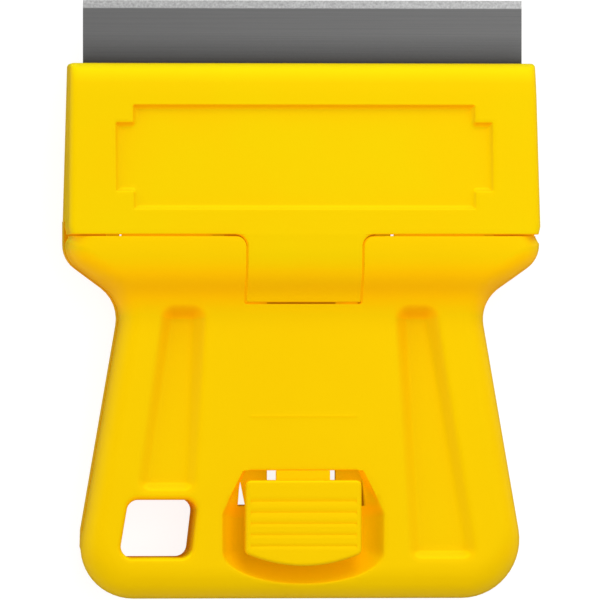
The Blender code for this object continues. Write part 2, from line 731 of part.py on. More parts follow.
def leg(side):
    """One leg of the guard, from the tongue's end back to its tooth below the button."""
    front = TONGUE_END_Y + LEG_RISER
    top = TONGUE_BOTTOM + OVERRUN / 2
    tooth_end = TOOTH_FRONT_Y - TOOTH_LENGTH
    profile = [(front, top), (front, LEG_BOTTOM), (LEG_TAIL_Y, LEG_BOTTOM), (LEG_TAIL_Y, LEG_TOP)]
    profile += [(tooth_end, LEG_TOP), (tooth_end + TOOTH_RAMP, TOOTH_TOP), (TOOTH_FRONT_Y, TOOTH_TOP)]
    profile += [(TOOTH_FRONT_Y, LEG_TOP), (TONGUE_END_Y + EASE, LEG_TOP), (TONGUE_END_Y + EASE, top)]
    return cross_prism("leg", profile, min(side * LEG_INNER, side * LEG_OUTER),
                       max(side * LEG_INNER, side * LEG_OUTER))


def hold_rib(x):
    """A rib under the guard's front wall that keeps the blade down."""
    rear = SEAM_Y + TAB_REACH + RUN_GAP
    front = MOUTH_Y - LIP_DEPTH / 2
    low = SPINE_TOP + RUN_GAP
    profile = [(rear, low), (front, low), (front, guard_top(front) - GUARD_ROOF / 2)]
    profile += [(NOSE_Y, guard_top(NOSE_Y) - GUARD_ROOF / 2), (rear, guard_top(rear) - GUARD_ROOF / 2)]
    return cross_prism("hold rib", profile, x - HOLD_RIB_THICK / 2, x + HOLD_RIB_THICK / 2)


def build_guard():
    """The head: a wedge-shaped sleeve with its tongue and two legs."""
    guard = guard_body()
    cut(guard, guard_bore())
    wide = GUARD_REAR_HALF + OVERRUN
    cut(guard, block("rear step", -wide, wide, GUARD_REAR_Y - OVERRUN, GUARD_BACK_REAR_Y, -OVERRUN,
                     FRONT_BASE))
    cut(guard, block("slit", -GUARD_BORE_HALF, GUARD_BORE_HALF, MOUTH_Y - LIP_DEPTH - OVERRUN,
                     MOUTH_Y + OVERRUN, BLADE_Z - MOUTH_SLIT / 2, BLADE_Z + MOUTH_SLIT / 2))
    cut(guard, prism("recess", recess_outline(), lambda y: guard_top(y) - RECESS_DEPTH,
                     lambda y: guard_top(y) + OVERRUN))
    head_root = tongue()
    for side in (-1, 1):
        join(head_root, leg(side))
    join(guard, head_root)
    for place in HOLD_RIB_PLACES:
        join(guard, hold_rib(-place))
        join(guard, hold_rib(place))
    return guard


def build_blade():
    """A single-edge blade with a ground edge and two side notches."""
    half_thick = BLADE_THICK / 2
    half_edge = BLADE_EDGE_THICK / 2
    bevel_y = EDGE_Y - BLADE_BEVEL
    profile = [(BLADE_REAR_Y, -half_thick), (bevel_y, -half_thick), (EDGE_Y, -half_edge)]
    profile += [(EDGE_Y, half_edge), (bevel_y, half_thick), (BLADE_REAR_Y, half_thick)]
    profile = [(y, BLADE_Z + z) for y, z in profile]
    left = BLADE_SIDE_SHIFT - BLADE_WIDTH / 2
    right = BLADE_SIDE_SHIFT + BLADE_WIDTH / 2
    blade = cross_prism("blade", profile, left, right)
    centre = EDGE_Y - BLADE_NOTCH_BACK
    for x in (left, right):
        cut(blade, block("notch", x - BLADE_NOTCH, x + BLADE_NOTCH, centre - BLADE_NOTCH / 2,
                         centre + BLADE_NOTCH / 2, BLADE_Z - OVERRUN, BLADE_Z + OVERRUN))
    return blade


def build_spine():
    """The folded steel back of the blade."""
    left = BLADE_SIDE_SHIFT - SPINE_HALF
    right = BLADE_SIDE_SHIFT + SPINE_HALF
    front = SPINE_REAR_Y + SPINE_HEIGHT
    fold = SPINE_BACK - SPINE_GAP
    half = SPINE_THICK / 2
    slot = BLADE_THICK / 2 + SPINE_GAP
    profile = [(front, half), (SPINE_REAR_Y + fold, half), (SPINE_REAR_Y, half - fold)]
    profile += [(SPINE_REAR_Y, fold - half), (SPINE_REAR_Y + fold, -half), (front, -half)]
    profile += [(front, -slot), (SPINE_REAR_Y + fold, -slot), (SPINE_REAR_Y + fold, slot), (front, slot)]
    return cross_prism("blade_spine", [(y, BLADE_Z + z) for y, z in profile], left, right)


def build_carrier():
    """The plate that carries the blade, with two wings that the shells clamp."""
    rear = BLADE_REAR_Y - SPINE_BACK + EASE
    half = [(CARRIER_HALF, CARRIER_FRONT_Y), (CARRIER_HALF, rear), (ROOT_HALF, rear)]
    half += [(ROOT_HALF, SEAM_Y - ROOT_CHAMFER_DROP), (ROOT_END_HALF, SEAM_Y - ROOT_DROP)]
    half += [(ROOT_INNER, SEAM_Y - ROOT_DROP), (ROOT_INNER, rear)]
    carrier = prism("blade_carrier", mirrored(half), CARRIER_BOTTOM, SEAT_TOP)
    thick_y = SEAM_Y + CARRIER_THICK_REACH
    wedge = [(thick_y, CARRIER_BOTTOM - OVERRUN), (thick_y, CARRIER_BOTTOM)]
    wedge += [(CARRIER_FRONT_Y, CARRIER_NOSE_BOTTOM), (CARRIER_FRONT_Y + OVERRUN, CARRIER_NOSE_BOTTOM)]
    wedge.append((CARRIER_FRONT_Y + OVERRUN, CARRIER_BOTTOM - OVERRUN))
    wide = CARRIER_HALF + OVERRUN
    cut(carrier, cross_prism("wedge", wedge, -wide, wide))
    pocket = SPINE_HALF + SPINE_GAP
    cut(carrier, block("spine pocket", BLADE_SIDE_SHIFT - pocket, BLADE_SIDE_SHIFT + pocket,
                       SPINE_REAR_Y - SPINE_GAP, SPINE_REAR_Y + SPINE_HEIGHT + SPINE_GAP,
                       SPINE_BOTTOM - SPINE_GAP, SEAT_TOP + OVERRUN))
    for side in (-1, 1):
        cut(carrier, seam_window(side, SEAT_TOP))
        x = BLADE_SIDE_SHIFT + side * (BLADE_WIDTH / 2 - STUD_INSET)
        join(carrier, peg("stud", x, EDGE_Y - BLADE_NOTCH_BACK, STUD_RADIUS, BLADE_Z - OVERRUN,
                          SEAT_TOP + STUD_RISE))
    for x, y in peg_places():
        if is_root(y):
            cut(carrier, peg("peg hole", x, y, PEG_RADIUS + PEG_GAP, CARRIER_BOTTOM - OVERRUN,
                             SEAT_TOP + OVERRUN))
    return carrier


def button_outline(inset):
    """The button's plan: straight sides and a slightly bulged end."""
    half = BUTTON_HALF
    corners = [(-half, BUTTON_SIDE_Y, BUTTON_CORNER), (-half, BUTTON_FRONT_Y, BUTTON_CORNER)]
    corners += [(half, BUTTON_FRONT_Y, BUTTON_CORNER), (half, BUTTON_SIDE_Y, BUTTON_CORNER)]
    for step in range(1, BULGE_STEPS):
        share = 1 - 2 * step / BULGE_STEPS
        corners.append((half * share, BUTTON_SIDE_Y - BUTTON_END_BULGE * (1 - share * share), 0.0))
    return rounded(corners, inset)


def build_button():
    """The ribbed latch button on the neck that joins it to the panel."""
    rings = [level(button_outline(0.0), BUTTON_BOTTOM)]
    rings.append(level(button_outline(0.0), BUTTON_TOP - BUTTON_EASE))
    rings.append(level(button_outline(BUTTON_EASE), BUTTON_TOP))
    button = loft("latch_button", rings)
    join(button, block("neck", -NECK_HALF, NECK_HALF, BUTTON_FRONT_Y - OVERRUN, PANEL_END_Y - NECK_GAP,
                       NECK_BOTTOM, NECK_TOP))
    for index in range(GRIP_LINE_COUNT):
        y = BUTTON_FRONT_Y - GRIP_LINE_FIRST - GRIP_LINE_PITCH * index
        rise = GRIP_LINE_WIDTH / 2
        profile = [(y - GRIP_LINE_WIDTH, BUTTON_TOP + GRIP_LINE_DEPTH), (y, BUTTON_TOP - GRIP_LINE_DEPTH)]
        profile += [(y + rise, BUTTON_TOP + GRIP_LINE_DEPTH)]
        cut(button, cross_prism("grip line", profile, -GRIP_LINE_HALF, GRIP_LINE_HALF))
    return button


def finish(solid, place, parent, material):
    """Set a solid's origin, its parent, its material and its shading."""
    solid.data.transform(Matrix.Translation(-Vector(place)))
    solid.location = place
    solid.parent = parent
    solid.data.materials.clear()
    solid.data.materials.append(material)
    solid.data.shade_smooth()
    solid.data.set_sharp_from_angle(angle=SMOOTH_ANGLE)


def add_material(name, colour, roughness, metallic):
    material = bpy.data.materials.new(name)
    material.use_nodes = True
    shader = material.node_tree.nodes["Principled BSDF"]
    shader.inputs["Base Color"].default_value = (*colour, 1.0)
    shader.inputs["Roughness"].default_value = roughness
    shader.inputs["Metallic"].default_value = metallic
    return material


def main():
    for old in list(bpy.data.objects):
        bpy.data.objects.remove(old)
    handle = bpy.data.objects.new("handle", None)
    bpy.context.collection.objects.link(handle)
    rest = (0.0, 0.0, 0.0)
    seat = (BLADE_SIDE_SHIFT, BLADE_REAR_Y, BLADE_Z)
    pieces = [
        (build_front_shell, rest, ("Front shell plastic", (0.93, 0.62, 0.002), 0.42, 0.0)),
        (build_back_shell, rest, ("Back shell plastic", (0.91, 0.6, 0.002), 0.45, 0.0)),
        (build_carrier, seat, ("Carrier plastic", (0.88, 0.57, 0.002), 0.5, 0.0)),
        (build_blade, seat, ("Blade steel", (0.42, 0.42, 0.43), 0.35, 1.0)),
        (build_spine, seat, ("Spine steel", (0.5, 0.5, 0.5), 0.4, 1.0)),
        (build_guard, (0.0, GUARD_REAR_Y, BLADE_Z), ("Guard plastic", (0.93, 0.63, 0.002), 0.4, 0.0)),
        (build_button, (0.0, HINGE_Y, HINGE_Z), ("Button plastic", (0.94, 0.65, 0.002), 0.38, 0.0)),
    ]
    for build, place, look in pieces:
        finish(build(), place, handle, add_material(*look))


main()
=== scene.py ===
import math

import bmesh
import bpy
import numpy as np
from mathutils import Matrix, Vector
from mathutils.geometry import delaunay_2d_cdt


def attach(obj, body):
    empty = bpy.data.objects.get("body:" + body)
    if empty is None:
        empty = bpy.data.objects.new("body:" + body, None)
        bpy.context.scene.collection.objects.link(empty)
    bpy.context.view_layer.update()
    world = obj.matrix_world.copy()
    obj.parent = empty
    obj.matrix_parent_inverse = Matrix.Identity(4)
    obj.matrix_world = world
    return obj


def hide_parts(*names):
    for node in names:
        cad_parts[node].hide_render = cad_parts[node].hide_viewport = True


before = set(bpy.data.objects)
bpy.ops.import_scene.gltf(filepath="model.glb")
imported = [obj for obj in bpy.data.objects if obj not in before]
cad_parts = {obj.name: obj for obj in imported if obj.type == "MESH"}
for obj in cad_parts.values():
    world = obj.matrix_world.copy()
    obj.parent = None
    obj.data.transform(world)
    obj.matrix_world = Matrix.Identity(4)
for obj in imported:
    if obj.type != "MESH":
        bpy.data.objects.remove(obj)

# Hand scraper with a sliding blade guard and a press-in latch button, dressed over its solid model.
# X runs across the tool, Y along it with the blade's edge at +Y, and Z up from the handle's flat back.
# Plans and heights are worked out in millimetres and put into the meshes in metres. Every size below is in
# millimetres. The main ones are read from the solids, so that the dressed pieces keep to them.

bl_info = {
    "name": "Hand scraper",
    "version": (1, 0, 0),
    "blender": (4, 5, 0),
    "location": "3D View > Sidebar > Scraper",
    "description": "Moulded hand scraper with a sliding blade guard and a latch button",
    "category": "Add Mesh",
}

MM = 0.001


def extent(node):
    """Low and high corner of one of the frame's solids, in millimetres."""
    corners = [tuple(corner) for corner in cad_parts[node].bound_box]
    return [[round(pick(values) / MM, 3) for values in zip(*corners)] for pick in (min, max)]


SHELL_LOW, SHELL_HIGH = extent("handle_front_shell")
GUARD_LOW, GUARD_HIGH = extent("blade_guard")
BUTTON_LOW, BUTTON_HIGH = extent("latch_button")
BLADE_LOW, BLADE_HIGH = extent("blade")

# Lengths along the tool
FOOT_Y = SHELL_LOW[1]
SEAM_Y = 5.61
GUARD_REAR_Y = 5.75
GUARD_BACK_REAR_Y = 6.9
NOSE_Y = 18.0
MOUTH_Y = GUARD_HIGH[1]
EDGE_Y = BLADE_HIGH[1]

# Corners on both sides of the seam, turned in over a short run
CORNER_TURN = 0.32
CORNER_RUN = 0.7

# Heights
GRIP_TOP = 7.2
SHOULDER_TOP = SHELL_HIGH[2]
FRONT_BASE = SHELL_LOW[2]
MOUTH_TOP = 7.0
MOUTH_BOTTOM = 2.4
NOSE_DROP = 1.0
BLADE_Z = round((BLADE_LOW[2] + BLADE_HIGH[2]) / 2, 3)

# Handle outline
SHOULDER_HALF = SHELL_HIGH[0]
WAIST_HALF = 15.87
FOOT_HALF = 20.42
SHOULDER_Y = 3.53
WAIST_Y = -0.23
SHOULDER_ROUND = 2.6
WAIST_ROUND = 3.4
FOOT_ROUND = 5.2
FOOT_LEFT_ROUND = 4.6
NECKING_SHARES = (0.32, 0.44, 0.56)
FRONT_EDGE_ROUND = 1.8
FOOT_EDGE_REACH = 3.0
FOOT_EDGE_DROP = 2.1
FOOT_EDGE_START_Y = -19.5
FOOT_EDGE_FULL_Y = -24.5
FRONT_INSET = 0.04

# Cove from the shoulder down to the grip: its slope at places along the tool, relative to one another
COVE_YS = (-2.3, -1.6, -1.0, -0.53, 0.0, 0.53, 0.9, 1.24, 1.6, 2.0, 2.7, 3.4, 4.5, 5.7)
COVE_SLOPES = (0.0, 0.05, 0.12, 0.2, 0.34, 0.56, 0.78, 0.84, 0.76, 0.56, 0.3, 0.14, 0.0, -0.06)
COVE_STEP = 0.05

# Shell walls
SIDE_WALL = 1.8
ROOF = 1.8
FRONT_WALL = 1.6
JACKET = 1.2
REBATE_SKIN = 0.8
REBATE_INNER = 2.05
REBATE_DEPTH = 1.0
REBATE_START_Y = -3.05
OVERRUN = 1.0
FINE_EASE = 0.12
CAVITY_STEP = 1.0

# Finger grooves: corners of (x, y) clockwise, depth and the width of their soft walls
LEFT_GROOVE = ((-12.4, -0.65), (-8.65, -0.65), (-9.52, -17.2), (-14.8, -17.2))
RIGHT_GROOVE = ((8.2, -0.65), (11.75, -0.65), (15.53, -23.25), (9.52, -23.25))
GROOVE_CORNER = 1.2
GROOVE_REAR_DEPTH = 0.55
GROOVE_FRONT_DEPTH = 1.05
GROOVE_REAR_RAMP = 1.5
GROOVE_RIM_REACH = 0.3
GROOVE_FLOOR_REACH = 1.15

# Hang hole
HANG_HOLE = ((-15.47, -17.7), (-9.35, -17.7), (-9.95, -22.8), (-16.33, -22.8))
HOLE_CORNER = 1.0
HOLE_EASE = 0.45

# Bowl round the button: the depth of its wall at distances inside its rim, steep in front and soft behind
PANEL_END_Y = -15.1
BOWL_FRONT_HALF = 5.0
BOWL_HALF = 6.95
BOWL_FLARE_Y = -18.95
BOWL_SIDE_Y = -22.26
BOWL_END_BULGE = 2.69
BOWL_INSETS = (-0.34, -0.30, -0.25, -0.20, -0.15, -0.10, -0.02, 0.10, 0.26, 0.45, 0.68, 0.90, 1.12, 1.35)
BOWL_DEPTHS = (0.0, 0.03, 0.12, 0.33, 0.72, 1.05, 1.34, 1.62, 1.88, 2.10, 2.31, 2.46, 2.56, 2.60)
BOWL_SOFT_INSETS = (-0.34, -0.25, -0.15, -0.05, 0.05, 0.15, 0.3, 0.5, 0.8, 1.1, 1.4, 2.0, 2.6)
BOWL_SOFT_DEPTHS = (0.0, 0.03, 0.13, 0.30, 0.48, 0.66, 0.92, 1.25, 1.70, 2.05, 2.30, 2.52, 2.60)
BOWL_LINE_INSETS = sorted(set(BOWL_INSETS[:10] + BOWL_SOFT_INSETS[5:]))
BOWL_SOFT_Y = -16.6
BOWL_SOFT_RUN = 1.6
THROAT_FRONT_HALF = 5.5
THROAT_FRONT_Y = -16.2
THROAT_HALF = 5.7
THROAT_REAR_Y = -18.3
THROAT_TOP = 5.7

# Notch in the panel, and the tongue in it
TONGUE_HALF = 5.08
TONGUE_END_Y = -0.25
TONGUE_BOTTOM = 5.9
TONGUE_CORNER = 0.15
NOTCH_GAP = 0.12
NOTCH_ROUND = 0.95
NOTCH_FLARE = 1.8
NOTCH_LINE_RISE = 1.4

# Run of the guard's legs under the panel
RUN_HALF = 5.55
RELIEF_Y = -10.3
RELIEF_TOP = 6.05
RELIEF_LINE_HALF = 4.9
RELIEF_LINE_RISE = 0.03
RELIEF_LINE_WIDTH = 0.09
RELIEF_LINE_SHARES = (-2, -1, -0.5, 0, 0.5, 1, 2)
GUIDE_RIB = 1.0

# Carrier's wings and pegs inside the shells
SEAT_TOP = 4.455
ROOT_INNER = 6.5
ROOT_OUTER = 17.5
SOCKET_PLACES = ((-12.5, -8.05), (12.5, -8.05), (13.8, -23.55))
PEG_BORE = 1.2
SOCKET_RADIUS = 2.1
TAB_INNER = 8.1
TAB_OUTER = 16.05
TAB_FRONT_Y = SHELL_HIGH[1]
TAB_TOP = 7.4
TAB_THICK = 1.2

# Guard
GUARD_REAR_HALF = 20.9
GUARD_MOUTH_HALF = 20.65
GUARD_EDGE_ROUND = 0.6
GUARD_CORNER = 0.35
GUARD_ROOF = 1.4
GUARD_FLOOR = 1.2
GUARD_LIP = 1.0
BORE_HALF = 19.8
MOUTH_SLIT = 0.9
RECESS_HALF = 16.68
RECESS_REAR_Y = 8.0
RECESS_FRONT_Y = 17.15
RECESS_NOTCH = 1.55
RECESS_REAR_DEPTH = 0.25
RECESS_FRONT_DEPTH = 0.5
RECESS_CORNER = 0.15
RECESS_INSETS = (-0.10, -0.04, 0.02, 0.10, 0.22, 0.40, 0.65)
RECESS_SHARES = (0.0, 0.08, 0.26, 0.52, 0.80, 0.95, 1.0)
LEG_INNER = 3.05
LEG_OUTER = 5.0
LEG_EDGE = 5.42
LEG_EDGE_FRONT_Y = -12.0
LEG_EDGE_REAR_Y = -15.9
LEG_BOTTOM = 4.1
LEG_TOP = 5.1
LEG_TAIL_Y = GUARD_LOW[1]
TOOTH_FRONT_Y = -16.6
TOOTH_TOP = 5.75
TOOTH_LENGTH = 1.2
TOOTH_RAMP = 0.5

# Button
BUTTON_HALF = BUTTON_HIGH[0]
BUTTON_FRONT_Y = -15.95
BUTTON_SIDE_Y = -22.45
BUTTON_END_BULGE = 1.1
BUTTON_CORNER = 0.5
BUTTON_TOP = BUTTON_HIGH[2]
BUTTON_BOTTOM = BUTTON_LOW[2]
BUTTON_EDGE_ROUND = 0.3
NECK_HALF = 2.38
NECK_TOP = 7.17
NECK_BOTTOM = 6.3
NECK_FRONT_Y = -15.106
NECK_FOOT_Y = -15.165
NECK_BEND = 6.7
GRIP_LINE_FIRST = 1.9
GRIP_LINE_HALF = 4.7
GRIP_LINE_WIDTH = 0.5

# Blade
BLADE_BEVEL = 0.7
BEVEL_BLUR = 0.05

# Fineness of the meshes
ARC_STEP = math.radians(7.5)
LOOP_STEP = 0.35
KEPT_ROUND_SHARE = 0.15  # of a corner's radius, kept however far its outline is drawn in
SHARP_ANGLE = math.radians(34)
EDGE_INSET_SHARES = (0.0, 0.02, 0.07, 0.15, 0.27, 0.42, 0.6, 0.8, 1.0)
WALL_SHARES = (0.0, 0.12, 0.25, 0.38, 0.5, 0.62, 0.75, 0.88, 1.0)
CLEAR_SHARE = 0.4  # of the step between points, kept clear beside every line
STEEP = 0.02  # run of a wall that stands almost upright
BULGE_STEPS = 40
DISC_STEPS = 32
SAME_PLACE = 1e-4
POINTS_AT_ONCE = 4000  # for which distances are worked out together, to save memory

# Patterns in the plastic, in millimetres, and its gloss
COOLING_PATCH = 9.091
GLOSS_PATCH = 1.111
MOULD_GRAIN = 0.2222
GRAIN_HEIGHT = 0.02
GRAIN_STRENGTH = 0.15
SMOOTHER = 0.05
ROUGHER = 0.06
PLASTIC_IOR = 1.45
PLASTIC_SHINE = 0.27
SHINE_TINT = "A0ED3F"

# Painted shade and glow in the plastic: how open a place is and how far a face leans, and what that does
AIR_REACH = 4.0
AIR_SAMPLES = 8
HOLLOW_SHADE = {"From Min": 0.6, "From Max": 1.0, "To Max": 0.0}
FACES_FILL = {"From Min": -0.7, "From Max": -0.2, "To Min": 0.45}
WARM_GLOW = (0.65, 0.6, 0.0)
GLOW_FADE = {"From Max": 0.95, "To Max": 0.0}
LEANS_BACK = {"From Min": -0.42, "From Max": -0.08, "To Min": 0.16, "To Max": 0.0}
LEANS_FORWARD = {"From Min": 0.28, "From Max": 0.45, "To Max": 0.13}
OFF_THE_FOOT = {"From Min": -23.5 * MM, "From Max": -20.0 * MM}
IN_THE_OPEN = {"From Min": 0.75, "From Max": 0.95}

# Patterns in the steel, in millimetres, its gloss, and the painted shade under the guard's lip
BRUSH_LENGTH = 16.67
BRUSH_WIDTH = 0.1111
BRUSH_HEIGHT = 0.01
BRUSH_STRENGTH = 0.25
GRIT = 0.1667
STEEL_GLOSS = {"To Min": 0.32, "To Max": 0.5}
LIP_REACH = 2.8
LIP_SHADE = {"From Min": 0.55, "From Max": 1.0, "To Min": 0.3, "To Max": 1.0}

# Studio: each lamp's name, place, size and power in watts
LAMPS = (
    ("key", (110.0, 50.0, 330.0), 300.0, 0.58),
    ("far side", (120.0, 440.0, 300.0), 300.0, 0.95),
    ("fill", (-500.0, 0.0, 130.0), 400.0, 0.85),
)
SKY_LEVEL = 0.45
SKY_LEVEL_IN_GLOSS = 0.12
FLOOR_HALF = 1500.0
FLOOR_DROP = 0.1
FLOOR_ROUGHNESS = 0.9
FLOOR_SHINE = 0.1
FLOOR_TONE = "E7E7E7"
FLOOR_TONE_IN_GLOSS = "303030"
FLOOR_TONE_SEEN = "818181"
FLOOR_GLOW_SEEN = 0.88
WHITE = "FFFFFF"
FRAME_HEIGHT = 53.2
AIM = (-0.02, -0.04, 4.0)
SENSOR_WIDTH = 36.0
FAR_CLIP = 10000.0


def linear(hex_text):
    """Linear colour of an sRGB hex value."""
    values = [int(hex_text[start:start + 2], 16) / 255 for start in (0, 2, 4)]
    return tuple(v / 12.92 if v <= 0.04045 else ((v + 0.055) / 1.055) ** 2.4 for v in values)


# Plans

def inward(way):
    """The side of a clockwise outline's stretch on which its inside lies."""
    return Vector((way.y, -way.x))


def rounded(corners, inset=0.0, closed=True):
    """Points of a clockwise outline of (x, y, radius) corners, drawn in by inset."""
    places = [Vector(corner[:2]) for corner in corners]
    ways = [(end - start).normalized() for start, end in zip(places, places[1:] + places[:1])]
    outline = []
    for index, place in enumerate(places):
        if not closed and index in (0, len(places) - 1):
            way = ways[0] if index == 0 else ways[index - 1]
            outline.append(tuple(place + inward(way) * inset))
            continue
        outline += rounded_corner(place, ways[index - 1], ways[index], corners[index][2], inset)
    return outline


def rounded_corner(place, before, after, radius, inset):
    """Points round one corner of an outline between two ways."""
    turn = math.atan2(before.x * after.y - before.y * after.x, before.dot(after))
    sides = inward(before) + inward(after)
    corner = place + sides * (inset / (1 + inward(before).dot(inward(after))))
    if radius == 0:
        return [tuple(corner)]
    side = -1 if turn > 0 else 1
    radius = max(radius - side * inset, radius * KEPT_ROUND_SHARE)
    start = corner - before * radius * math.tan(abs(turn) / 2)
    centre = start + inward(before) * side * radius
    arm = start - centre
    steps = max(2, math.ceil(abs(turn) / ARC_STEP))
    return [tuple(centre + arm @ Matrix.Rotation(-turn * step / steps, 2)) for step in range(steps + 1)]


def dense(outline, closed=True, step=LOOP_STEP):
    """The same outline with no stretch longer than step."""
    ends = outline[1:] + outline[:1] if closed else outline[1:]
    points = []
    for start, end in zip(outline, ends):
        count = max(1, math.ceil(math.dist(start, end) / step))
        for index in range(count):
            share = index / count
            points.append((start[0] + (end[0] - start[0]) * share, start[1] + (end[1] - start[1]) * share))
    if not closed:
        points.append(tuple(outline[-1]))
    return points


def mirrored(half):
    """A clockwise row of corners on the right, and the same on the left in reverse."""
    return half + [(-corner[0],) + tuple(corner[1:]) for corner in reversed(half)]


def both_sides(inner, outer):
    """The stretch between two distances from the tool's middle, on its left and on its right."""
    return (-outer, -inner), (inner, outer)


def away(points, outline, closed=True):
    """Distance of each point from an outline."""
    starts = np.array(outline, float)
    ends = np.roll(starts, -1, 0)
    if not closed:
        starts, ends = starts[:-1], ends[:-1]
    ways = ends - starts
    lengths = np.maximum((ways ** 2).sum(1), SAME_PLACE ** 2)
    result = np.empty(len(points))
    for first in range(0, len(points), POINTS_AT_ONCE):
        group = points[first:first + POINTS_AT_ONCE]
        offsets = group[:, None, :] - starts[None]
        shares = np.clip((offsets * ways).sum(2) / lengths, 0, 1)
        gaps = offsets - shares[..., None] * ways
        result[first:first + POINTS_AT_ONCE] = np.sqrt((gaps ** 2).sum(2).min(1))
    return result


def within(points, outline):
    """Whether each point lies inside an outline."""
    corners = np.array(outline, float)
    inside = np.zeros(len(points), bool)
    x, y = points[:, 0], points[:, 1]
    for (ax, ay), (bx, by) in zip(corners, np.roll(corners, -1, 0)):
        if ay == by:
            continue
        crosses = (ay > y) != (by > y)
        inside ^= crosses & (x < ax + (y - ay) * (bx - ax) / (by - ay))
    return inside


def depth_inside(points, outline):
    """Distance of each point inside an outline, negative outside it."""
    return np.where(within(points, outline), 1, -1) * away(points, outline)


def edge_drop(depth, radius):
    """How far a rounded edge lies below its surface, at a distance inside the edge."""
    rest = radius - np.clip(depth, 0, radius)
    return radius - np.sqrt(np.maximum(radius ** 2 - rest ** 2, 0))


def smooth(share):
    """A share from 0 to 1 with soft ends."""
    share = np.clip(share, 0, 1)
    return share * share * (3 - 2 * share)


def edge_insets(radius):
    """Distances inside an edge at which its rounding gets a line of points."""
    return [radius * share for share in EDGE_INSET_SHARES]


# Meshes

def plan_mesh(lines, step, inside):
    """Triangles of a plan that keep to lines of (points, closed), with even points between them."""
    points = []
    edges = []
    for line, closed in lines:
        first = len(points)
        points += line
        edges += [(first + index, first + index + 1) for index in range(len(line) - 1)]
        if closed:
            edges.append((first + len(line) - 1, first))
    plan = np.array(points)
    low, high = plan.min(0), plan.max(0)
    rise = step * math.sqrt(3) / 2
    grid = []
    for row, y in enumerate(np.arange(low[1], high[1], rise)):
        xs = np.arange(low[0] + (row % 2) * step / 2, high[0], step)
        grid.append(np.column_stack((xs, np.full(len(xs), y))))
    grid = np.concatenate(grid)
    grid = grid[inside(grid)]
    clear = np.full(len(grid), True)
    for line, closed in lines:
        clear &= away(grid, line, closed) > step * CLEAR_SHARE
    points += [tuple(point) for point in grid[clear]]
    found = delaunay_2d_cdt([Vector(point) for point in points], edges, [], 0, SAME_PLACE, False)
    places = np.array([tuple(place) for place in found[0]])
    triangles = np.array([tuple(face) for face in found[2]])
    triangles = triangles[inside(places[triangles].mean(1))]
    used, numbers = np.unique(triangles, return_inverse=True)
    return places[used], numbers.reshape(-1, 3)


def new_object(name, form):
    """An object in the scene from a bmesh, which is freed."""
    mesh = bpy.data.meshes.new(name)
    form.to_mesh(mesh)
    form.free()
    solid = bpy.data.objects.new(name, mesh)
    bpy.context.scene.collection.objects.link(solid)
    return solid


def relief(name, plan, top, base):
    """A closed solid from a plan's surface down to a flat base."""
    places, triangles = plan
    heights = top(places)
    form = bmesh.new()
    verts = [form.verts.new((x * MM, y * MM, z * MM)) for (x, y), z in zip(places, heights)]
    for corners in triangles:
        form.faces.new([verts[corner] for corner in corners])
    rim = [edge for edge in form.edges if edge.is_boundary]
    lowered = bmesh.ops.extrude_edge_only(form, edges=rim)["geom"]
    floor = [item for item in lowered if isinstance(item, bmesh.types.BMEdge) and item.is_boundary]
    for item in lowered:
        if isinstance(item, bmesh.types.BMVert):
            item.co.z = base * MM
    bmesh.ops.triangle_fill(form, edges=floor, use_beauty=True)
    bmesh.ops.recalc_face_normals(form, faces=form.faces)
    return new_object(name, form)


def slab(name, plan, top, bottom):
    """A closed solid between two surfaces over the same plan."""
    places, triangles = plan
    form = bmesh.new()
    sheets = []
    for heights in (top(places), bottom(places)):
        sheets.append([form.verts.new((x * MM, y * MM, z * MM)) for (x, y), z in zip(places, heights)])
    for corners in triangles:
        form.faces.new([sheets[0][corner] for corner in corners])
        form.faces.new([sheets[1][corner] for corner in reversed(corners)])
    partner = dict(zip(sheets[0], sheets[1]))
    for edge in [edge for edge in form.edges if edge.is_boundary and edge.verts[0] in partner]:
        first, second = edge.verts
        form.faces.new((first, second, partner[second], partner[first]))
    bmesh.ops.recalc_face_normals(form, faces=form.faces)
    return new_object(name, form)


def prism(name, outline, low, high):
    """A plan outline between two heights."""
    form = bmesh.new()
    rings = [[form.verts.new((x * MM, y * MM, z * MM)) for x, y in outline] for z in (low, high)]
    for index in range(len(outline)):
        form.faces.new((rings[0][index - 1], rings[0][index], rings[1][index], rings[1][index - 1]))
    form.faces.new(rings[0])
    form.faces.new(rings[1])
    bmesh.ops.recalc_face_normals(form, faces=form.faces)
    return new_object(name, form)


def side_prism(name, profile, left, right):
    """A side profile of (y, z) points between two places across the tool."""
    solid = prism(name, [(z, y) for y, z in profile], left, right)
    solid.data.transform(Matrix(((0, 0, 1, 0), (0, 1, 0, 0), (1, 0, 0, 0), (0, 0, 0, 1))))
    solid.data.flip_normals()
    return solid


def block(name, left, right, rear, front, low, high):
    """A box between six places."""
    return prism(name, [(left, rear), (left, front), (right, front), (right, rear)], low, high)


def disc(x, y, radius):
    """The plan of a round peg, bore or socket."""
    turns = [2 * math.pi * step / DISC_STEPS for step in range(DISC_STEPS)]
    return [(x + radius * math.cos(turn), y - radius * math.sin(turn)) for turn in turns]


def combine(solid, others, operation):
    """Cut or join solids, one after the other, and remove them."""
    for other in others:
        step = solid.modifiers.new("Combine", "BOOLEAN")
        step.operation = operation
        step.solver = "EXACT"
        step.object = other
    bpy.context.view_layer.update()
    evaluated = solid.evaluated_get(bpy.context.evaluated_depsgraph_get())
    mesh = bpy.data.meshes.new_from_object(evaluated)
    solid.modifiers.clear()
    old_mesh = solid.data
    solid.data = mesh
    bpy.data.meshes.remove(old_mesh)
    for other in others:
        bpy.data.objects.remove(other)
    return solid


def coat(piece, material):
    """Give a piece or one of the frame's solids its one material."""
    piece.data.materials.clear()
    piece.data.materials.append(material)


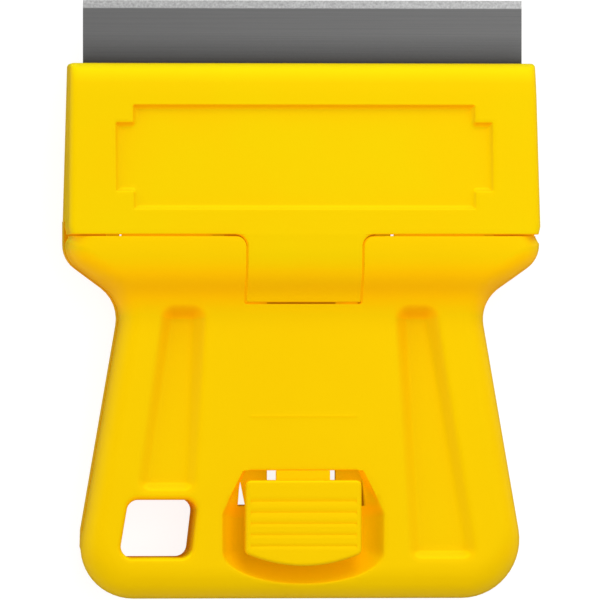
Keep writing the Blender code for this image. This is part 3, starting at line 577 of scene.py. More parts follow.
def finish_piece(piece, body, node, material):
    """Shade a finished piece, give it its material and hand it to the frame."""
    piece.data.shade_smooth()
    piece.data.set_sharp_from_angle(angle=SHARP_ANGLE)
    coat(piece, material)
    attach(piece, body)
    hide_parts(node)


# Nodes

def opaque(colour):
    """A linear colour, or an sRGB hex value, as a colour socket takes it."""
    return (*(linear(colour) if isinstance(colour, str) else colour), 1.0)


def add(tree, kind, settings=None, **links):
    """Add a node with its settings and links.

    A socket goes by its name or its number: Scale or 2 in the settings, and Vector or _2 in the links.
    """
    node = tree.nodes.new(kind)
    for name, value in (settings or {}).items():
        if isinstance(name, str) and hasattr(node, name):
            setattr(node, name, value)
        else:
            node.inputs[name].default_value = value
    for name, source in links.items():
        target = node.inputs[int(name[1:])] if name[1:].isdigit() else node.inputs[name.replace("_", " ")]
        tree.links.new(source, target)
    return node


# Surfaces of the handle

def handle_top(y):
    """Height of the handle's front: shoulder, cove and grip."""
    ys = np.arange(COVE_YS[0], COVE_YS[-1], COVE_STEP)
    rises = np.cumsum(np.interp(ys, COVE_YS, COVE_SLOPES))
    return GRIP_TOP + (SHOULDER_TOP - GRIP_TOP) * np.interp(y, ys, rises / rises.max())


def handle_chain(front, inset):
    """The handle's outline from its front right corner round the foot to its front left corner."""
    shoulder = Vector((SHOULDER_HALF, SHOULDER_Y))
    waist = Vector((WAIST_HALF, WAIST_Y))
    turned = SHOULDER_HALF - CORNER_TURN
    half = [(turned, front, 0.0), (turned, front - FINE_EASE, 0.0), (SHOULDER_HALF, front - CORNER_RUN, 0.0)]
    half.append((*shoulder, SHOULDER_ROUND))
    half += [(*shoulder.lerp(waist, share), 0.0) for share in NECKING_SHARES]
    half += [(*waist, WAIST_ROUND), (FOOT_HALF, FOOT_Y, FOOT_ROUND)]
    corners = mirrored(half)
    corners[len(half)] = (-FOOT_HALF, FOOT_Y, FOOT_LEFT_ROUND)
    return rounded(corners, inset, closed=False)


def notch_half(half, line, end):
    """The right side of the notch, from beyond the seam to its end."""
    row = [(half + NOTCH_FLARE, line + NOTCH_LINE_RISE, 0.0), (half + NOTCH_FLARE, line, 0.0)]
    return row + [(half, line, NOTCH_ROUND), (half, end, TONGUE_CORNER)]


def notch_outline(offset):
    """The notch in the panel, widened by offset."""
    half = notch_half(TONGUE_HALF + NOTCH_GAP, SEAM_Y, TONGUE_END_Y - NOTCH_GAP)
    return rounded(mirrored(half), -offset)


def hole_outline(offset):
    """The hang hole, widened by offset."""
    return rounded([(x, y, HOLE_CORNER) for x, y in HANG_HOLE], -offset)


def groove_outline(corners, offset):
    """A finger groove, widened by offset."""
    return rounded([(x, y, GROOVE_CORNER) for x, y in corners], -offset)


def bowl_chain(inset, front=PANEL_END_Y):
    """The bowl's left side, end and right side, drawn in from its rim."""
    half = BOWL_HALF - inset
    slant = (BOWL_HALF - BOWL_FRONT_HALF) / (PANEL_END_Y - BOWL_FLARE_Y)
    front_half = BOWL_FRONT_HALF - inset - slant * (front - PANEL_END_Y)
    chain = [(front_half, front), (half, BOWL_FLARE_Y)]
    for step in range(BULGE_STEPS + 1):
        angle = math.pi * step / BULGE_STEPS
        chain.append((half * math.cos(angle), BOWL_SIDE_Y - (BOWL_END_BULGE - inset) * math.sin(angle)))
    return chain + [(-half, BOWL_FLARE_Y), (-front_half, front)]


def front_surface(points):
    """Height of the front shell at each point of its plan."""
    x, y = points[:, 0], points[:, 1]
    height = handle_top(y)
    edge = away(points, dense(handle_chain(SEAM_Y, FRONT_INSET), False), False)
    near_foot = smooth((FOOT_EDGE_START_Y - y) / (FOOT_EDGE_START_Y - FOOT_EDGE_FULL_Y))
    reach = FRONT_EDGE_ROUND + (FOOT_EDGE_REACH - FRONT_EDGE_ROUND) * near_foot
    fall = FRONT_EDGE_ROUND + (FOOT_EDGE_DROP - FRONT_EDGE_ROUND) * near_foot
    height -= fall * edge_drop(edge / reach, 1.0)
    for corners in (LEFT_GROOVE, RIGHT_GROOVE):
        depth = depth_inside(points, groove_outline(corners, 0.0))
        share = (depth + GROOVE_RIM_REACH) / (GROOVE_RIM_REACH + GROOVE_FLOOR_REACH)
        fall = np.interp(y, (corners[2][1], corners[0][1]), (GROOVE_REAR_DEPTH, GROOVE_FRONT_DEPTH))
        ramp = (y - corners[2][1] + GROOVE_RIM_REACH) / GROOVE_REAR_RAMP
        height -= fall * smooth(share) * smooth(ramp)
    bowl = depth_inside(points, bowl_chain(0.0, PANEL_END_Y + OVERRUN))
    sunk = np.interp(bowl, BOWL_INSETS, BOWL_DEPTHS)
    soft = smooth((BOWL_SOFT_Y - y) / BOWL_SOFT_RUN)
    sunk += soft * (np.interp(bowl, BOWL_SOFT_INSETS, BOWL_SOFT_DEPTHS) - sunk)
    height -= np.where(y < PANEL_END_Y - STEEP / 2, sunk, 0.0)
    panel_end = (bowl > 0) & (y >= PANEL_END_Y - STEEP / 2)
    height -= np.where(panel_end, edge_drop(y - PANEL_END_Y, FINE_EASE), 0.0)
    height -= edge_drop(-depth_inside(points, hole_outline(0.0)), HOLE_EASE)
    height -= edge_drop(-depth_inside(points, notch_outline(0.0)), FINE_EASE)
    height -= edge_drop(SEAM_Y - y, FINE_EASE)
    ridge = RELIEF_LINE_RISE * np.exp(-((y - RELIEF_Y) / RELIEF_LINE_WIDTH) ** 2)
    height += ridge * smooth((RELIEF_LINE_HALF - np.abs(x)) / FINE_EASE)
    return height


def front_inside(points):
    """Whether each point lies on the front shell, and in neither its notch nor its hole."""
    handle = handle_chain(SEAM_Y, FRONT_INSET)
    return within(points, handle) & ~within(points, notch_outline(0.0)) & ~within(points, hole_outline(0.0))


def front_plan(step):
    """The front shell's plan, with lines along every edge, wall and rim, so that the heights turn there."""
    fine = edge_insets(FINE_EASE)[::2]
    lines = []
    for inset in edge_insets(FOOT_EDGE_REACH):
        lines.append((dense(handle_chain(SEAM_Y, FRONT_INSET + inset), False), False))
    lines += [([(-SHOULDER_HALF, SEAM_Y - inset), (SHOULDER_HALF, SEAM_Y - inset)], False) for inset in fine]
    lines += [(dense(notch_outline(offset)), True) for offset in fine]
    lines += [(dense(hole_outline(offset)), True) for offset in edge_insets(HOLE_EASE)[::2]]
    for corners in (LEFT_GROOVE, RIGHT_GROOVE):
        for share in WALL_SHARES:
            offset = GROOVE_RIM_REACH - share * (GROOVE_RIM_REACH + GROOVE_FLOOR_REACH)
            lines.append((dense(groove_outline(corners, offset)), True))
    lines += [(dense(bowl_chain(inset), False), False) for inset in BOWL_LINE_INSETS]
    for y in [PANEL_END_Y - STEEP] + [PANEL_END_Y + ease for ease in fine]:
        lines.append((dense([(-BOWL_FRONT_HALF, y), (BOWL_FRONT_HALF, y)], False), False))
    for share in RELIEF_LINE_SHARES:
        y = RELIEF_Y + share * RELIEF_LINE_WIDTH
        lines.append((dense([(-RELIEF_LINE_HALF, y), (RELIEF_LINE_HALF, y)], False), False))
    return plan_mesh(lines, step, front_inside)


def hollow_plan(outer, inner, front):
    """The plan of a hollow between walls, with the standing pieces in inner left out."""
    chain = handle_chain(SEAM_Y, outer)

    def inside(points):
        kept = within(points, chain) & (points[:, 1] < front)
        for outline in inner:
            kept &= ~within(points, outline)
        return kept

    lines = [(dense(chain, False), False), ([(-SHOULDER_HALF, front), (SHOULDER_HALF, front)], False)]
    lines += [(outline, True) for outline in inner]
    return plan_mesh(lines, CAVITY_STEP, inside)


def front_cavity():
    """The hollow of the front shell, as one cutter."""
    standing = [hole_outline(JACKET), bowl_chain(-JACKET, PANEL_END_Y + JACKET)]
    rear = PANEL_END_Y + JACKET / 2
    for left, right in both_sides(RUN_HALF, RUN_HALF + GUIDE_RIB):
        standing.append([(left, rear), (left, SEAM_Y), (right, SEAM_Y), (right, rear)])
    standing += [disc(x, y, SOCKET_RADIUS) for x, y in SOCKET_PLACES]
    plan = hollow_plan(SIDE_WALL, standing, SEAM_Y - FRONT_WALL)
    return relief("cavity", plan, lambda points: handle_top(points[:, 1]) - ROOF, FRONT_BASE - OVERRUN)


def front_rebate():
    """The step in the shell's rim that takes the back shell's lip, as a cutter."""
    plan = hollow_plan(REBATE_SKIN, [handle_chain(SEAM_Y, REBATE_INNER)], REBATE_START_Y)
    high = FRONT_BASE + REBATE_DEPTH
    return relief("rebate", plan, lambda points: np.full(len(points), high), FRONT_BASE - OVERRUN)


def build_front_shell(step):
    """The front moulding: one surface over a fine plan, hollowed from below.

    The cutters end at slightly different depths, so that no two of their faces lie in one plane.
    """
    shell = relief("front_shell", front_plan(step), front_surface, FRONT_BASE)
    low = FRONT_BASE - OVERRUN
    cutters = [front_cavity(), front_rebate()]
    throat = mirrored([(THROAT_FRONT_HALF, PANEL_END_Y - STEEP), (THROAT_FRONT_HALF, THROAT_FRONT_Y),
                       (THROAT_HALF, THROAT_REAR_Y)])
    cutters.append(prism("throat", throat, low, THROAT_TOP))
    cutters.append(block("run", -RUN_HALF, RUN_HALF, PANEL_END_Y - 2 * STEEP, RELIEF_Y, low - FINE_EASE,
                         RELIEF_TOP))
    for left, right in both_sides(ROOT_INNER, ROOT_OUTER):
        cutters.append(block("wing way", left, right, SEAM_Y - FRONT_WALL - OVERRUN, SEAM_Y + OVERRUN,
                             low - 2 * FINE_EASE, SEAT_TOP + NOTCH_GAP))
    combine(shell, cutters, "DIFFERENCE")
    bores = [prism("bore", disc(x, y, PEG_BORE), low, SEAT_TOP + OVERRUN) for x, y in SOCKET_PLACES]
    combine(shell, bores, "DIFFERENCE")
    tabs = []
    for left, right in both_sides(TAB_INNER, TAB_OUTER):
        tabs.append(block("tab", left, right, SEAM_Y - FRONT_WALL / 2, TAB_FRONT_Y, TAB_TOP - TAB_THICK,
                          TAB_TOP))
    return combine(shell, tabs, "UNION")


# Surfaces of the guard

def guard_top(y):
    """Height of the guard's front: a slope, then a rounder nose."""
    nose_top = MOUTH_TOP + NOSE_DROP
    slope = (SHOULDER_TOP - nose_top) / (NOSE_Y - GUARD_REAR_Y)
    length = MOUTH_Y - NOSE_Y
    share = np.clip((y - NOSE_Y) / length, 0, None)
    curve = slope * length * share + (NOSE_DROP - slope * length) * share ** 2
    return nose_top + slope * np.clip(NOSE_Y - y, 0, None) - curve


def guard_bottom(y):
    """Height of the guard's back, which rises to the mouth."""
    return MOUTH_BOTTOM * (y - GUARD_REAR_Y) / (MOUTH_Y - GUARD_REAR_Y)


def tongue_half():
    """The tongue's right side, from its flare at the seam to its end."""
    return [(TONGUE_HALF, GUARD_REAR_Y, NOTCH_ROUND + NOTCH_GAP), (TONGUE_HALF, TONGUE_END_Y, TONGUE_CORNER)]


def rear_chain(inset):
    """The guard's rear edge with the tongue, from right to left."""
    half = [(GUARD_REAR_HALF - CORNER_TURN / 2, GUARD_REAR_Y, 0.0)] + tongue_half()
    return rounded(mirrored(half), inset, closed=False)


def head_chain(inset):
    """The guard's left side, mouth and right side."""
    rear = GUARD_REAR_HALF - CORNER_TURN / 2
    left = [(-rear, GUARD_REAR_Y, 0.0), (-GUARD_REAR_HALF, GUARD_REAR_Y + CORNER_RUN, 0.0),
            (-GUARD_MOUTH_HALF, MOUTH_Y, GUARD_CORNER)]
    right = [(-x, y, radius) for x, y, radius in reversed(left)]
    return rounded(left + right, inset, closed=False)


def guard_outline():
    """The guard's whole plan, with its tongue."""
    return head_chain(0.0) + rear_chain(0.0)[1:-1]


def recess_outline(inset):
    """The sunk field on the guard's front, with a notch in each corner."""
    inner = RECESS_HALF - RECESS_NOTCH
    right = [(inner, RECESS_FRONT_Y), (inner, RECESS_FRONT_Y - RECESS_NOTCH)]
    right += [(RECESS_HALF, RECESS_FRONT_Y - RECESS_NOTCH), (RECESS_HALF, RECESS_REAR_Y + RECESS_NOTCH)]
    right += [(inner, RECESS_REAR_Y + RECESS_NOTCH), (inner, RECESS_REAR_Y)]
    return rounded([(x, y, RECESS_CORNER) for x, y in mirrored(right)], inset)


def guard_surface(points):
    """Height of the guard's front at each point of its plan."""
    y = points[:, 1]
    height = np.where(y < GUARD_REAR_Y, handle_top(y), guard_top(y))
    height -= edge_drop(away(points, dense(head_chain(0.0), False), False), GUARD_EDGE_ROUND)
    height -= edge_drop(away(points, dense(rear_chain(0.0), False), False), FINE_EASE)
    recess = depth_inside(points, recess_outline(0.0))
    fall = np.interp(y, (RECESS_REAR_Y, RECESS_FRONT_Y), (RECESS_REAR_DEPTH, RECESS_FRONT_DEPTH))
    return height - fall * np.interp(recess, RECESS_INSETS, RECESS_SHARES)


def guard_underside(points):
    """Height of the guard's back: the tongue's, the step's over the back shell, and the wedge's."""
    y = points[:, 1]
    wedge = guard_bottom(y)
    wedge += edge_drop(away(points, dense(head_chain(0.0), False), False), GUARD_EDGE_ROUND)
    step = np.where(y < GUARD_REAR_Y + STEEP / 2, TONGUE_BOTTOM, FRONT_BASE)
    return np.where(y < GUARD_BACK_REAR_Y + STEEP / 2, step, wedge)


def guard_plan(step):
    """The guard's plan, with lines along every edge and wall."""
    fine = edge_insets(FINE_EASE)[::2]
    lines = [(dense(head_chain(inset), False), False) for inset in edge_insets(GUARD_EDGE_ROUND)]
    lines += [(dense(rear_chain(inset), False), False) for inset in fine]
    lines += [(dense(recess_outline(inset)), True) for inset in RECESS_INSETS]
    for y in (GUARD_REAR_Y, GUARD_REAR_Y + STEEP, GUARD_BACK_REAR_Y, GUARD_BACK_REAR_Y + STEEP):
        lines.append((dense([(-GUARD_REAR_HALF, y), (GUARD_REAR_HALF, y)], False), False))
    outline = guard_outline()
    return plan_mesh(lines, step, lambda points: within(points, outline))


def guard_bore():
    """The hollow that slides over the carrier, with the mouth's slit, as cutters."""
    ys = (GUARD_REAR_Y - OVERRUN, NOSE_Y, MOUTH_Y - GUARD_LIP)
    profile = [(y, float(guard_bottom(y)) + GUARD_FLOOR) for y in ys]
    profile += [(y, float(guard_top(y)) - GUARD_ROOF) for y in reversed(ys)]
    bore = side_prism("bore", profile, -BORE_HALF, BORE_HALF)
    half = MOUTH_SLIT / 2
    slit = block("slit", -BORE_HALF + FINE_EASE, BORE_HALF - FINE_EASE, MOUTH_Y - GUARD_LIP - OVERRUN,
                 MOUTH_Y + OVERRUN, BLADE_Z - half, BLADE_Z + half)
    return [bore, slit]


def guard_leg(left, right):
    """One leg of the guard, from the tongue's end back to its tooth below the button."""
    front = TONGUE_END_Y + OVERRUN
    top = TONGUE_BOTTOM + OVERRUN / 2
    tooth_end = TOOTH_FRONT_Y - TOOTH_LENGTH
    profile = [(front, top), (front, LEG_BOTTOM), (LEG_TAIL_Y, LEG_BOTTOM), (LEG_TAIL_Y, LEG_TOP)]
    profile += [(tooth_end, LEG_TOP), (tooth_end + TOOTH_RAMP, TOOTH_TOP), (TOOTH_FRONT_Y, TOOTH_TOP)]
    riser = TONGUE_END_Y + FINE_EASE
    profile += [(TOOTH_FRONT_Y, LEG_TOP), (riser, LEG_TOP), (riser, top)]
    return side_prism("leg", profile, left, right)


def leg_edge(side):
    """The wider part of a leg beside the button, tapered towards the leg's tail."""
    inner = LEG_OUTER - FINE_EASE
    plan = [(inner, LEG_TAIL_Y), (inner, LEG_EDGE_FRONT_Y), (LEG_EDGE, LEG_EDGE_FRONT_Y - OVERRUN)]
    plan += [(LEG_EDGE, LEG_EDGE_REAR_Y), (LEG_OUTER, LEG_TAIL_Y)]
    return prism("leg_edge", [(side * x, y) for x, y in plan], LEG_BOTTOM + FINE_EASE, LEG_TOP)


def build_guard(step):
    """The guard: a solid between two surfaces, bored for the carrier, with its two legs."""
    guard = slab("guard_head", guard_plan(step), guard_surface, guard_underside)
    combine(guard, guard_bore(), "DIFFERENCE")
    legs = [guard_leg(left, right) for left, right in both_sides(LEG_INNER, LEG_OUTER)]
    return combine(guard, legs + [leg_edge(-1), leg_edge(1)], "UNION")


# Button

def button_outline(inset):
    """The button's plan: straight sides and a slightly bulged end."""
    corners = [(-BUTTON_HALF, BUTTON_SIDE_Y, BUTTON_CORNER), (-BUTTON_HALF, BUTTON_FRONT_Y, BUTTON_CORNER)]
    corners += [(-x, y, radius) for x, y, radius in reversed(corners)]
    for step in range(1, BULGE_STEPS):
        share = 1 - 2 * step / BULGE_STEPS
        y = BUTTON_SIDE_Y - BUTTON_END_BULGE * (1 - share * share)
        corners.append((BUTTON_HALF * share, y, 0.0))
    return rounded(corners, inset)


def button_surface(points):
    """Height of the button at each point of its plan."""
    depth = depth_inside(points, button_outline(0.0))
    return BUTTON_TOP - edge_drop(depth, BUTTON_EDGE_ROUND)


def build_button_blank(step):
    """The button before its grip lines, with its neck."""
    outline = button_outline(0.0)
    lines = [(dense(button_outline(inset)), True) for inset in edge_insets(BUTTON_EDGE_ROUND)]
    plan = plan_mesh(lines, step, lambda points: within(points, outline))
    button = relief("button_blank", plan, button_surface, BUTTON_BOTTOM)
    rear = BUTTON_FRONT_Y - OVERRUN
    profile = [(rear, NECK_BOTTOM), (rear, NECK_TOP), (NECK_FRONT_Y, NECK_TOP), (NECK_FRONT_Y, NECK_BEND)]
    profile.append((NECK_FOOT_Y, NECK_BOTTOM))
    neck = side_prism("neck", profile, -NECK_HALF, NECK_HALF)
    return combine(button, [neck], "UNION")


def grip_line_tree(material):
    """Cuts a row of grip lines into the button: one line's shape, set out at an even pitch."""
    tree = bpy.data.node_groups.new("Button grip lines", "GeometryNodeTree")
    face = tree.interface
    face.new_socket("Button", in_out="INPUT", socket_type="NodeSocketGeometry")
    face.new_socket("Line shape", in_out="INPUT", socket_type="NodeSocketObject")
    face.new_socket("Count", in_out="INPUT", socket_type="NodeSocketInt")
    face.new_socket("Pitch", in_out="INPUT", socket_type="NodeSocketFloat")
    face.new_socket("Button", in_out="OUTPUT", socket_type="NodeSocketGeometry")
    given = add(tree, "NodeGroupInput").outputs
    shape = add(tree, "GeometryNodeObjectInfo", _0=given["Line shape"])
    back = add(tree, "ShaderNodeMath", {"operation": "MULTIPLY", 1: -1.0}, _0=given["Pitch"])
    step = add(tree, "ShaderNodeCombineXYZ", Y=back.outputs[0])
    row = add(tree, "GeometryNodeMeshLine", Count=given["Count"], Offset=step.outputs[0])
    lines = add(tree, "GeometryNodeInstanceOnPoints", Points=row.outputs[0],
                Instance=shape.outputs["Geometry"])
    cutters = add(tree, "GeometryNodeRealizeInstances", Geometry=lines.outputs[0])
    carved = add(tree, "GeometryNodeMeshBoolean", {"operation": "DIFFERENCE", "solver": "EXACT"},
                 _0=given["Button"], _1=cutters.outputs[0])
    plain = add(tree, "GeometryNodeRealizeInstances", Geometry=carved.outputs[0])
    dressed = add(tree, "GeometryNodeSetMaterial", {"Material": material}, Geometry=plain.outputs[0])
    add(tree, "NodeGroupOutput", _0=dressed.outputs[0])
    return tree


def set_input(modifier, name, value):
    """Set a modifier's input by the identifier of its socket."""
    for item in modifier.node_group.interface.items_tree:
        if item.item_type == "SOCKET" and item.in_out == "INPUT" and item.name == name:
            modifier[item.identifier] = value
            return
    raise KeyError(name)


def build_button(step, count, pitch, depth, material):
    """The button with its grip lines, which follow one rule."""
    blank = build_button_blank(step)
    y = BUTTON_FRONT_Y - GRIP_LINE_FIRST
    profile = [(y - GRIP_LINE_WIDTH, BUTTON_TOP + depth), (y, BUTTON_TOP - depth)]
    profile += [(y + GRIP_LINE_WIDTH, BUTTON_TOP + depth)]
    cutter = side_prism("grip_line", profile, -GRIP_LINE_HALF, GRIP_LINE_HALF)
    modifier = blank.modifiers.new("Grip lines", "NODES")
    modifier.node_group = grip_line_tree(material)
    set_input(modifier, "Line shape", cutter)
    set_input(modifier, "Count", count)
    set_input(modifier, "Pitch", pitch * MM)
    bpy.context.view_layer.update()
    evaluated = blank.evaluated_get(bpy.context.evaluated_depsgraph_get())
    mesh = bpy.data.meshes.new_from_object(evaluated)
    button = bpy.data.objects.new("latch_button_dressed", mesh)
    bpy.context.scene.collection.objects.link(button)
    blank.modifiers.clear()
    bpy.data.objects.remove(blank)
    bpy.data.objects.remove(cutter)
    return button


# Materials

def new_material(name):
    """A material with its tree, its shader, and the coordinates and normals on its object."""
    material = bpy.data.materials.new(name)
    material.use_nodes = True
    tree = material.node_tree
    return material, tree, tree.nodes["Principled BSDF"], add(tree, "ShaderNodeTexCoord").outputs


def pattern_scale(size):
    """Scale of a pattern whose features are a number of millimetres apart."""
    return 1 / (size * MM)


def plastic_colour(tree, place, facing, air, colour, hollow_shade_share):
    """Colour of the plastic: two close tones where it cooled at different speeds, and painted amber shade.

    Light that falls into a hollow meets the plastic again and again and takes up its colour each time, so
    hollows are painted in an amber shade. Walls that face the low lamp on the left keep more of their own
    colour, and the painted shade falls on the other walls.
    """
    colours = bpy.context.scene.scraper_colours
    drift = add(tree, "ShaderNodeTexNoise",
                {"Scale": pattern_scale(COOLING_PATCH), "Detail": 3.0, "Roughness": 0.5}, Vector=place)
    tones = {"data_type": "RGBA", 6: opaque(colours.deep_plastic), 7: opaque(colour)}
    tint = add(tree, "ShaderNodeMix", tones, _0=drift.outputs["Fac"])
    # Painted shade: hollows, and walls turned from the fill lamp, are mixed towards an amber colour.
    hollow = add(tree, "ShaderNodeMapRange", {**HOLLOW_SHADE, "To Min": hollow_shade_share}, _0=air)
    unlit = add(tree, "ShaderNodeMapRange", FACES_FILL, _0=facing["X"])
    share = add(tree, "ShaderNodeMath", {"operation": "MULTIPLY"}, _0=hollow.outputs[0], _1=unlit.outputs[0])
    tones = {"data_type": "RGBA", 7: opaque(colours.hollow_shade_colour)}
    return add(tree, "ShaderNodeMix", tones, _0=share.outputs[0], _6=tint.outputs[2]).outputs[2]


def painted_wall_glow(tree, place, facing, air, glow):
    """Painted light: a faint glow that stands in for light coming back out of the translucent wall.

    Real light wanders about in the wall, which would take very long to render. So hollows get an even warm
    painted glow, faces that lean to the foot get some painted red shade, and free faces that lean to the
    blade get a painted green highlight. That gives the eye amber shade and a lemon flank, where paint would
    turn olive.
    """
    along = add(tree, "ShaderNodeSeparateXYZ", _0=place).outputs["Y"]
    scatter = add(tree, "ShaderNodeMapRange", {**GLOW_FADE, "To Min": glow}, _0=air)
    back = add(tree, "ShaderNodeMapRange", LEANS_BACK, _0=facing["Y"])
    inland = add(tree, "ShaderNodeMapRange", OFF_THE_FOOT, _0=along)
    amber = add(tree, "ShaderNodeMath", {"operation": "MULTIPLY"}, _0=back.outputs[0], _1=inland.outputs[0])
    forward = add(tree, "ShaderNodeMapRange", LEANS_FORWARD, _0=facing["Y"])
    free = add(tree, "ShaderNodeMapRange", IN_THE_OPEN, _0=air)
    lemon = add(tree, "ShaderNodeMath", {"operation": "MULTIPLY"}, _0=forward.outputs[0], _1=free.outputs[0])
    leaning = add(tree, "ShaderNodeCombineXYZ", X=amber.outputs[0], Y=lemon.outputs[0])
    light = add(tree, "ShaderNodeVectorMath", {"operation": "MULTIPLY_ADD", 1: WARM_GLOW},
                _0=scatter.outputs[0], _2=leaning.outputs[0])
    return light.outputs[0]


def moulded_plastic(name, glow=0.36, hollow_shade_share=1.0, colour=None):
    """ABS, injection moulded against a finely spark-eroded mould: satin, with soft broad highlights.

    The mould's grain of about 0.05 mm is too fine for the render, so it is drawn about four times as coarse.
    It breaks the highlights up a little. Hollows get painted shade in the colour, and the emission carries a
    painted glow.
    """
    colours = bpy.context.scene.scraper_colours
    material, tree, shader, own = new_material(name)
    place = own["Object"]
    facing = add(tree, "ShaderNodeSeparateXYZ", _0=own["Normal"]).outputs
    around = add(tree, "ShaderNodeAmbientOcclusion", {"Distance": AIR_REACH * MM, "samples": AIR_SAMPLES})
    air = around.outputs["AO"]
    tone = plastic_colour(tree, place, facing, air, colour or colours.plastic, hollow_shade_share)
    tree.links.new(tone, shader.inputs["Base Color"])
    patches = add(tree, "ShaderNodeTexNoise", {"Scale": pattern_scale(GLOSS_PATCH), "Detail": 2.0},
                  Vector=place)
    gloss = add(tree, "ShaderNodeMapRange",
                {"To Min": colours.roughness - SMOOTHER, "To Max": colours.roughness + ROUGHER},
                _0=patches.outputs["Fac"])
    tree.links.new(gloss.outputs[0], shader.inputs["Roughness"])
    pits = add(tree, "ShaderNodeTexNoise", {"Scale": pattern_scale(MOULD_GRAIN), "Detail": 2.0}, Vector=place)
    bump = add(tree, "ShaderNodeBump", {"Strength": GRAIN_STRENGTH, "Distance": GRAIN_HEIGHT * MM},
               Height=pits.outputs["Fac"])
    tree.links.new(bump.outputs[0], shader.inputs["Normal"])
    shader.inputs["IOR"].default_value = PLASTIC_IOR
    shader.inputs["Specular IOR Level"].default_value = PLASTIC_SHINE
    shader.inputs["Specular Tint"].default_value = opaque(SHINE_TINT)
    # Painted light: the glow goes into the emission.
    light = painted_wall_glow(tree, place, facing, air, glow)
    tree.links.new(light, shader.inputs["Emission Color"])
    shader.inputs["Emission Strength"].default_value = 1.0
    return material


def brushed_steel(name):
    """Carbon steel strip, brushed along its length: grey, with fine streaks that spread its highlights.

    Its cutting edge is ground, which gives the eye a paler, speckled band. Real brush lines are about
    0.01 mm apart, so they are drawn ten times as coarse. Under the guard's lip the steel would mirror the
    dark gap, so painted shade darkens it there.
    """
    colours = bpy.context.scene.scraper_colours
    material, tree, shader, own = new_material(name)
    place = own["Object"]
    across = pattern_scale(BRUSH_WIDTH)
    stretched = add(tree, "ShaderNodeMapping", {"Scale": (pattern_scale(BRUSH_LENGTH), across, across)},
                    Vector=place)
    streaks = add(tree, "ShaderNodeTexNoise", {"Scale": 1.0, "Detail": 4.0, "Roughness": 0.6},
                  Vector=stretched.outputs[0])
    tones = {"data_type": "RGBA", 6: opaque(colours.steel_dark), 7: opaque(colours.steel_light)}
    tone = add(tree, "ShaderNodeMix", tones, _0=streaks.outputs["Fac"])
    speckle = add(tree, "ShaderNodeTexNoise", {"Scale": pattern_scale(GRIT), "Detail": 3.0}, Vector=place)
    tones = {"data_type": "RGBA", 6: opaque(colours.steel_light), 7: opaque(colours.steel_ground)}
    grit = add(tree, "ShaderNodeMix", tones, _0=speckle.outputs["Fac"])
    along = add(tree, "ShaderNodeSeparateXYZ", _0=place).outputs["Y"]
    bevel_y = EDGE_Y - BLADE_BEVEL
    edge = add(tree, "ShaderNodeMapRange",
               {"From Min": (bevel_y - BEVEL_BLUR) * MM, "From Max": (bevel_y + BEVEL_BLUR) * MM}, _0=along)
    blend = add(tree, "ShaderNodeMix", {"data_type": "RGBA"}, _0=edge.outputs[0], _6=tone.outputs[2],
                _7=grit.outputs[2])
    # Painted shade: the steel is darker where the guard's lip closes over it.
    air = add(tree, "ShaderNodeAmbientOcclusion", {"Distance": LIP_REACH * MM, "samples": AIR_SAMPLES})
    shade = add(tree, "ShaderNodeMapRange", LIP_SHADE, _0=air.outputs["AO"])
    shaded = add(tree, "ShaderNodeMix", {"data_type": "RGBA", "blend_type": "MULTIPLY", "Factor": 1.0},
                 _6=blend.outputs[2], _7=shade.outputs[0])
    tree.links.new(shaded.outputs[2], shader.inputs["Base Color"])
    rough = add(tree, "ShaderNodeMapRange", STEEL_GLOSS, _0=streaks.outputs["Fac"])
    tree.links.new(rough.outputs[0], shader.inputs["Roughness"])
    bump = add(tree, "ShaderNodeBump", {"Strength": BRUSH_STRENGTH, "Distance": BRUSH_HEIGHT * MM},
               Height=streaks.outputs["Fac"])
    tree.links.new(bump.outputs[0], shader.inputs["Normal"])
    shader.inputs["Metallic"].default_value = 1.0
    return material


def painted_floor():
    """Pale matt paint. The camera sees it as white with the tool's shadow on it, and gloss sees it dark."""
    material, tree, shader, _ = new_material("Pale matt paint, floor")
    shader.inputs["Roughness"].default_value = FLOOR_ROUGHNESS
    shader.inputs["Specular IOR Level"].default_value = FLOOR_SHINE
    ray = add(tree, "ShaderNodeLightPath").outputs
    seen = add(tree, "ShaderNodeMath", {"operation": "MAXIMUM"}, _0=ray["Is Camera Ray"],
               _1=ray["Is Transmission Ray"])
    tones = {"data_type": "RGBA", 6: opaque(FLOOR_TONE), 7: opaque(FLOOR_TONE_IN_GLOSS)}
    tone = add(tree, "ShaderNodeMix", tones, _0=ray["Is Glossy Ray"])
    tones = {"data_type": "RGBA", 7: opaque(FLOOR_TONE_SEEN)}
    shown = add(tree, "ShaderNodeMix", tones, _0=seen.outputs[0], _6=tone.outputs[2])
    tree.links.new(shown.outputs[2], shader.inputs["Base Color"])
    glow = add(tree, "ShaderNodeEmission", {"Color": opaque(WHITE), "Strength": FLOOR_GLOW_SEEN})
    both = add(tree, "ShaderNodeAddShader", _0=shader.outputs[0], _1=glow.outputs[0])
    mix = add(tree, "ShaderNodeMixShader", _0=seen.outputs[0], _1=shader.outputs[0], _2=both.outputs[0])
    tree.links.new(mix.outputs[0], tree.nodes["Material Output"].inputs["Surface"])
    return material


# Stage

def build_floor():
    """A pale floor just under the tool."""
    form = bmesh.new()
    bmesh.ops.create_grid(form, x_segments=1, y_segments=1, size=FLOOR_HALF * MM)
    floor = new_object("floor", form)
    floor.data.transform(Matrix.Translation((0, 0, -FLOOR_DROP * MM)))
    floor.data.materials.append(painted_floor())


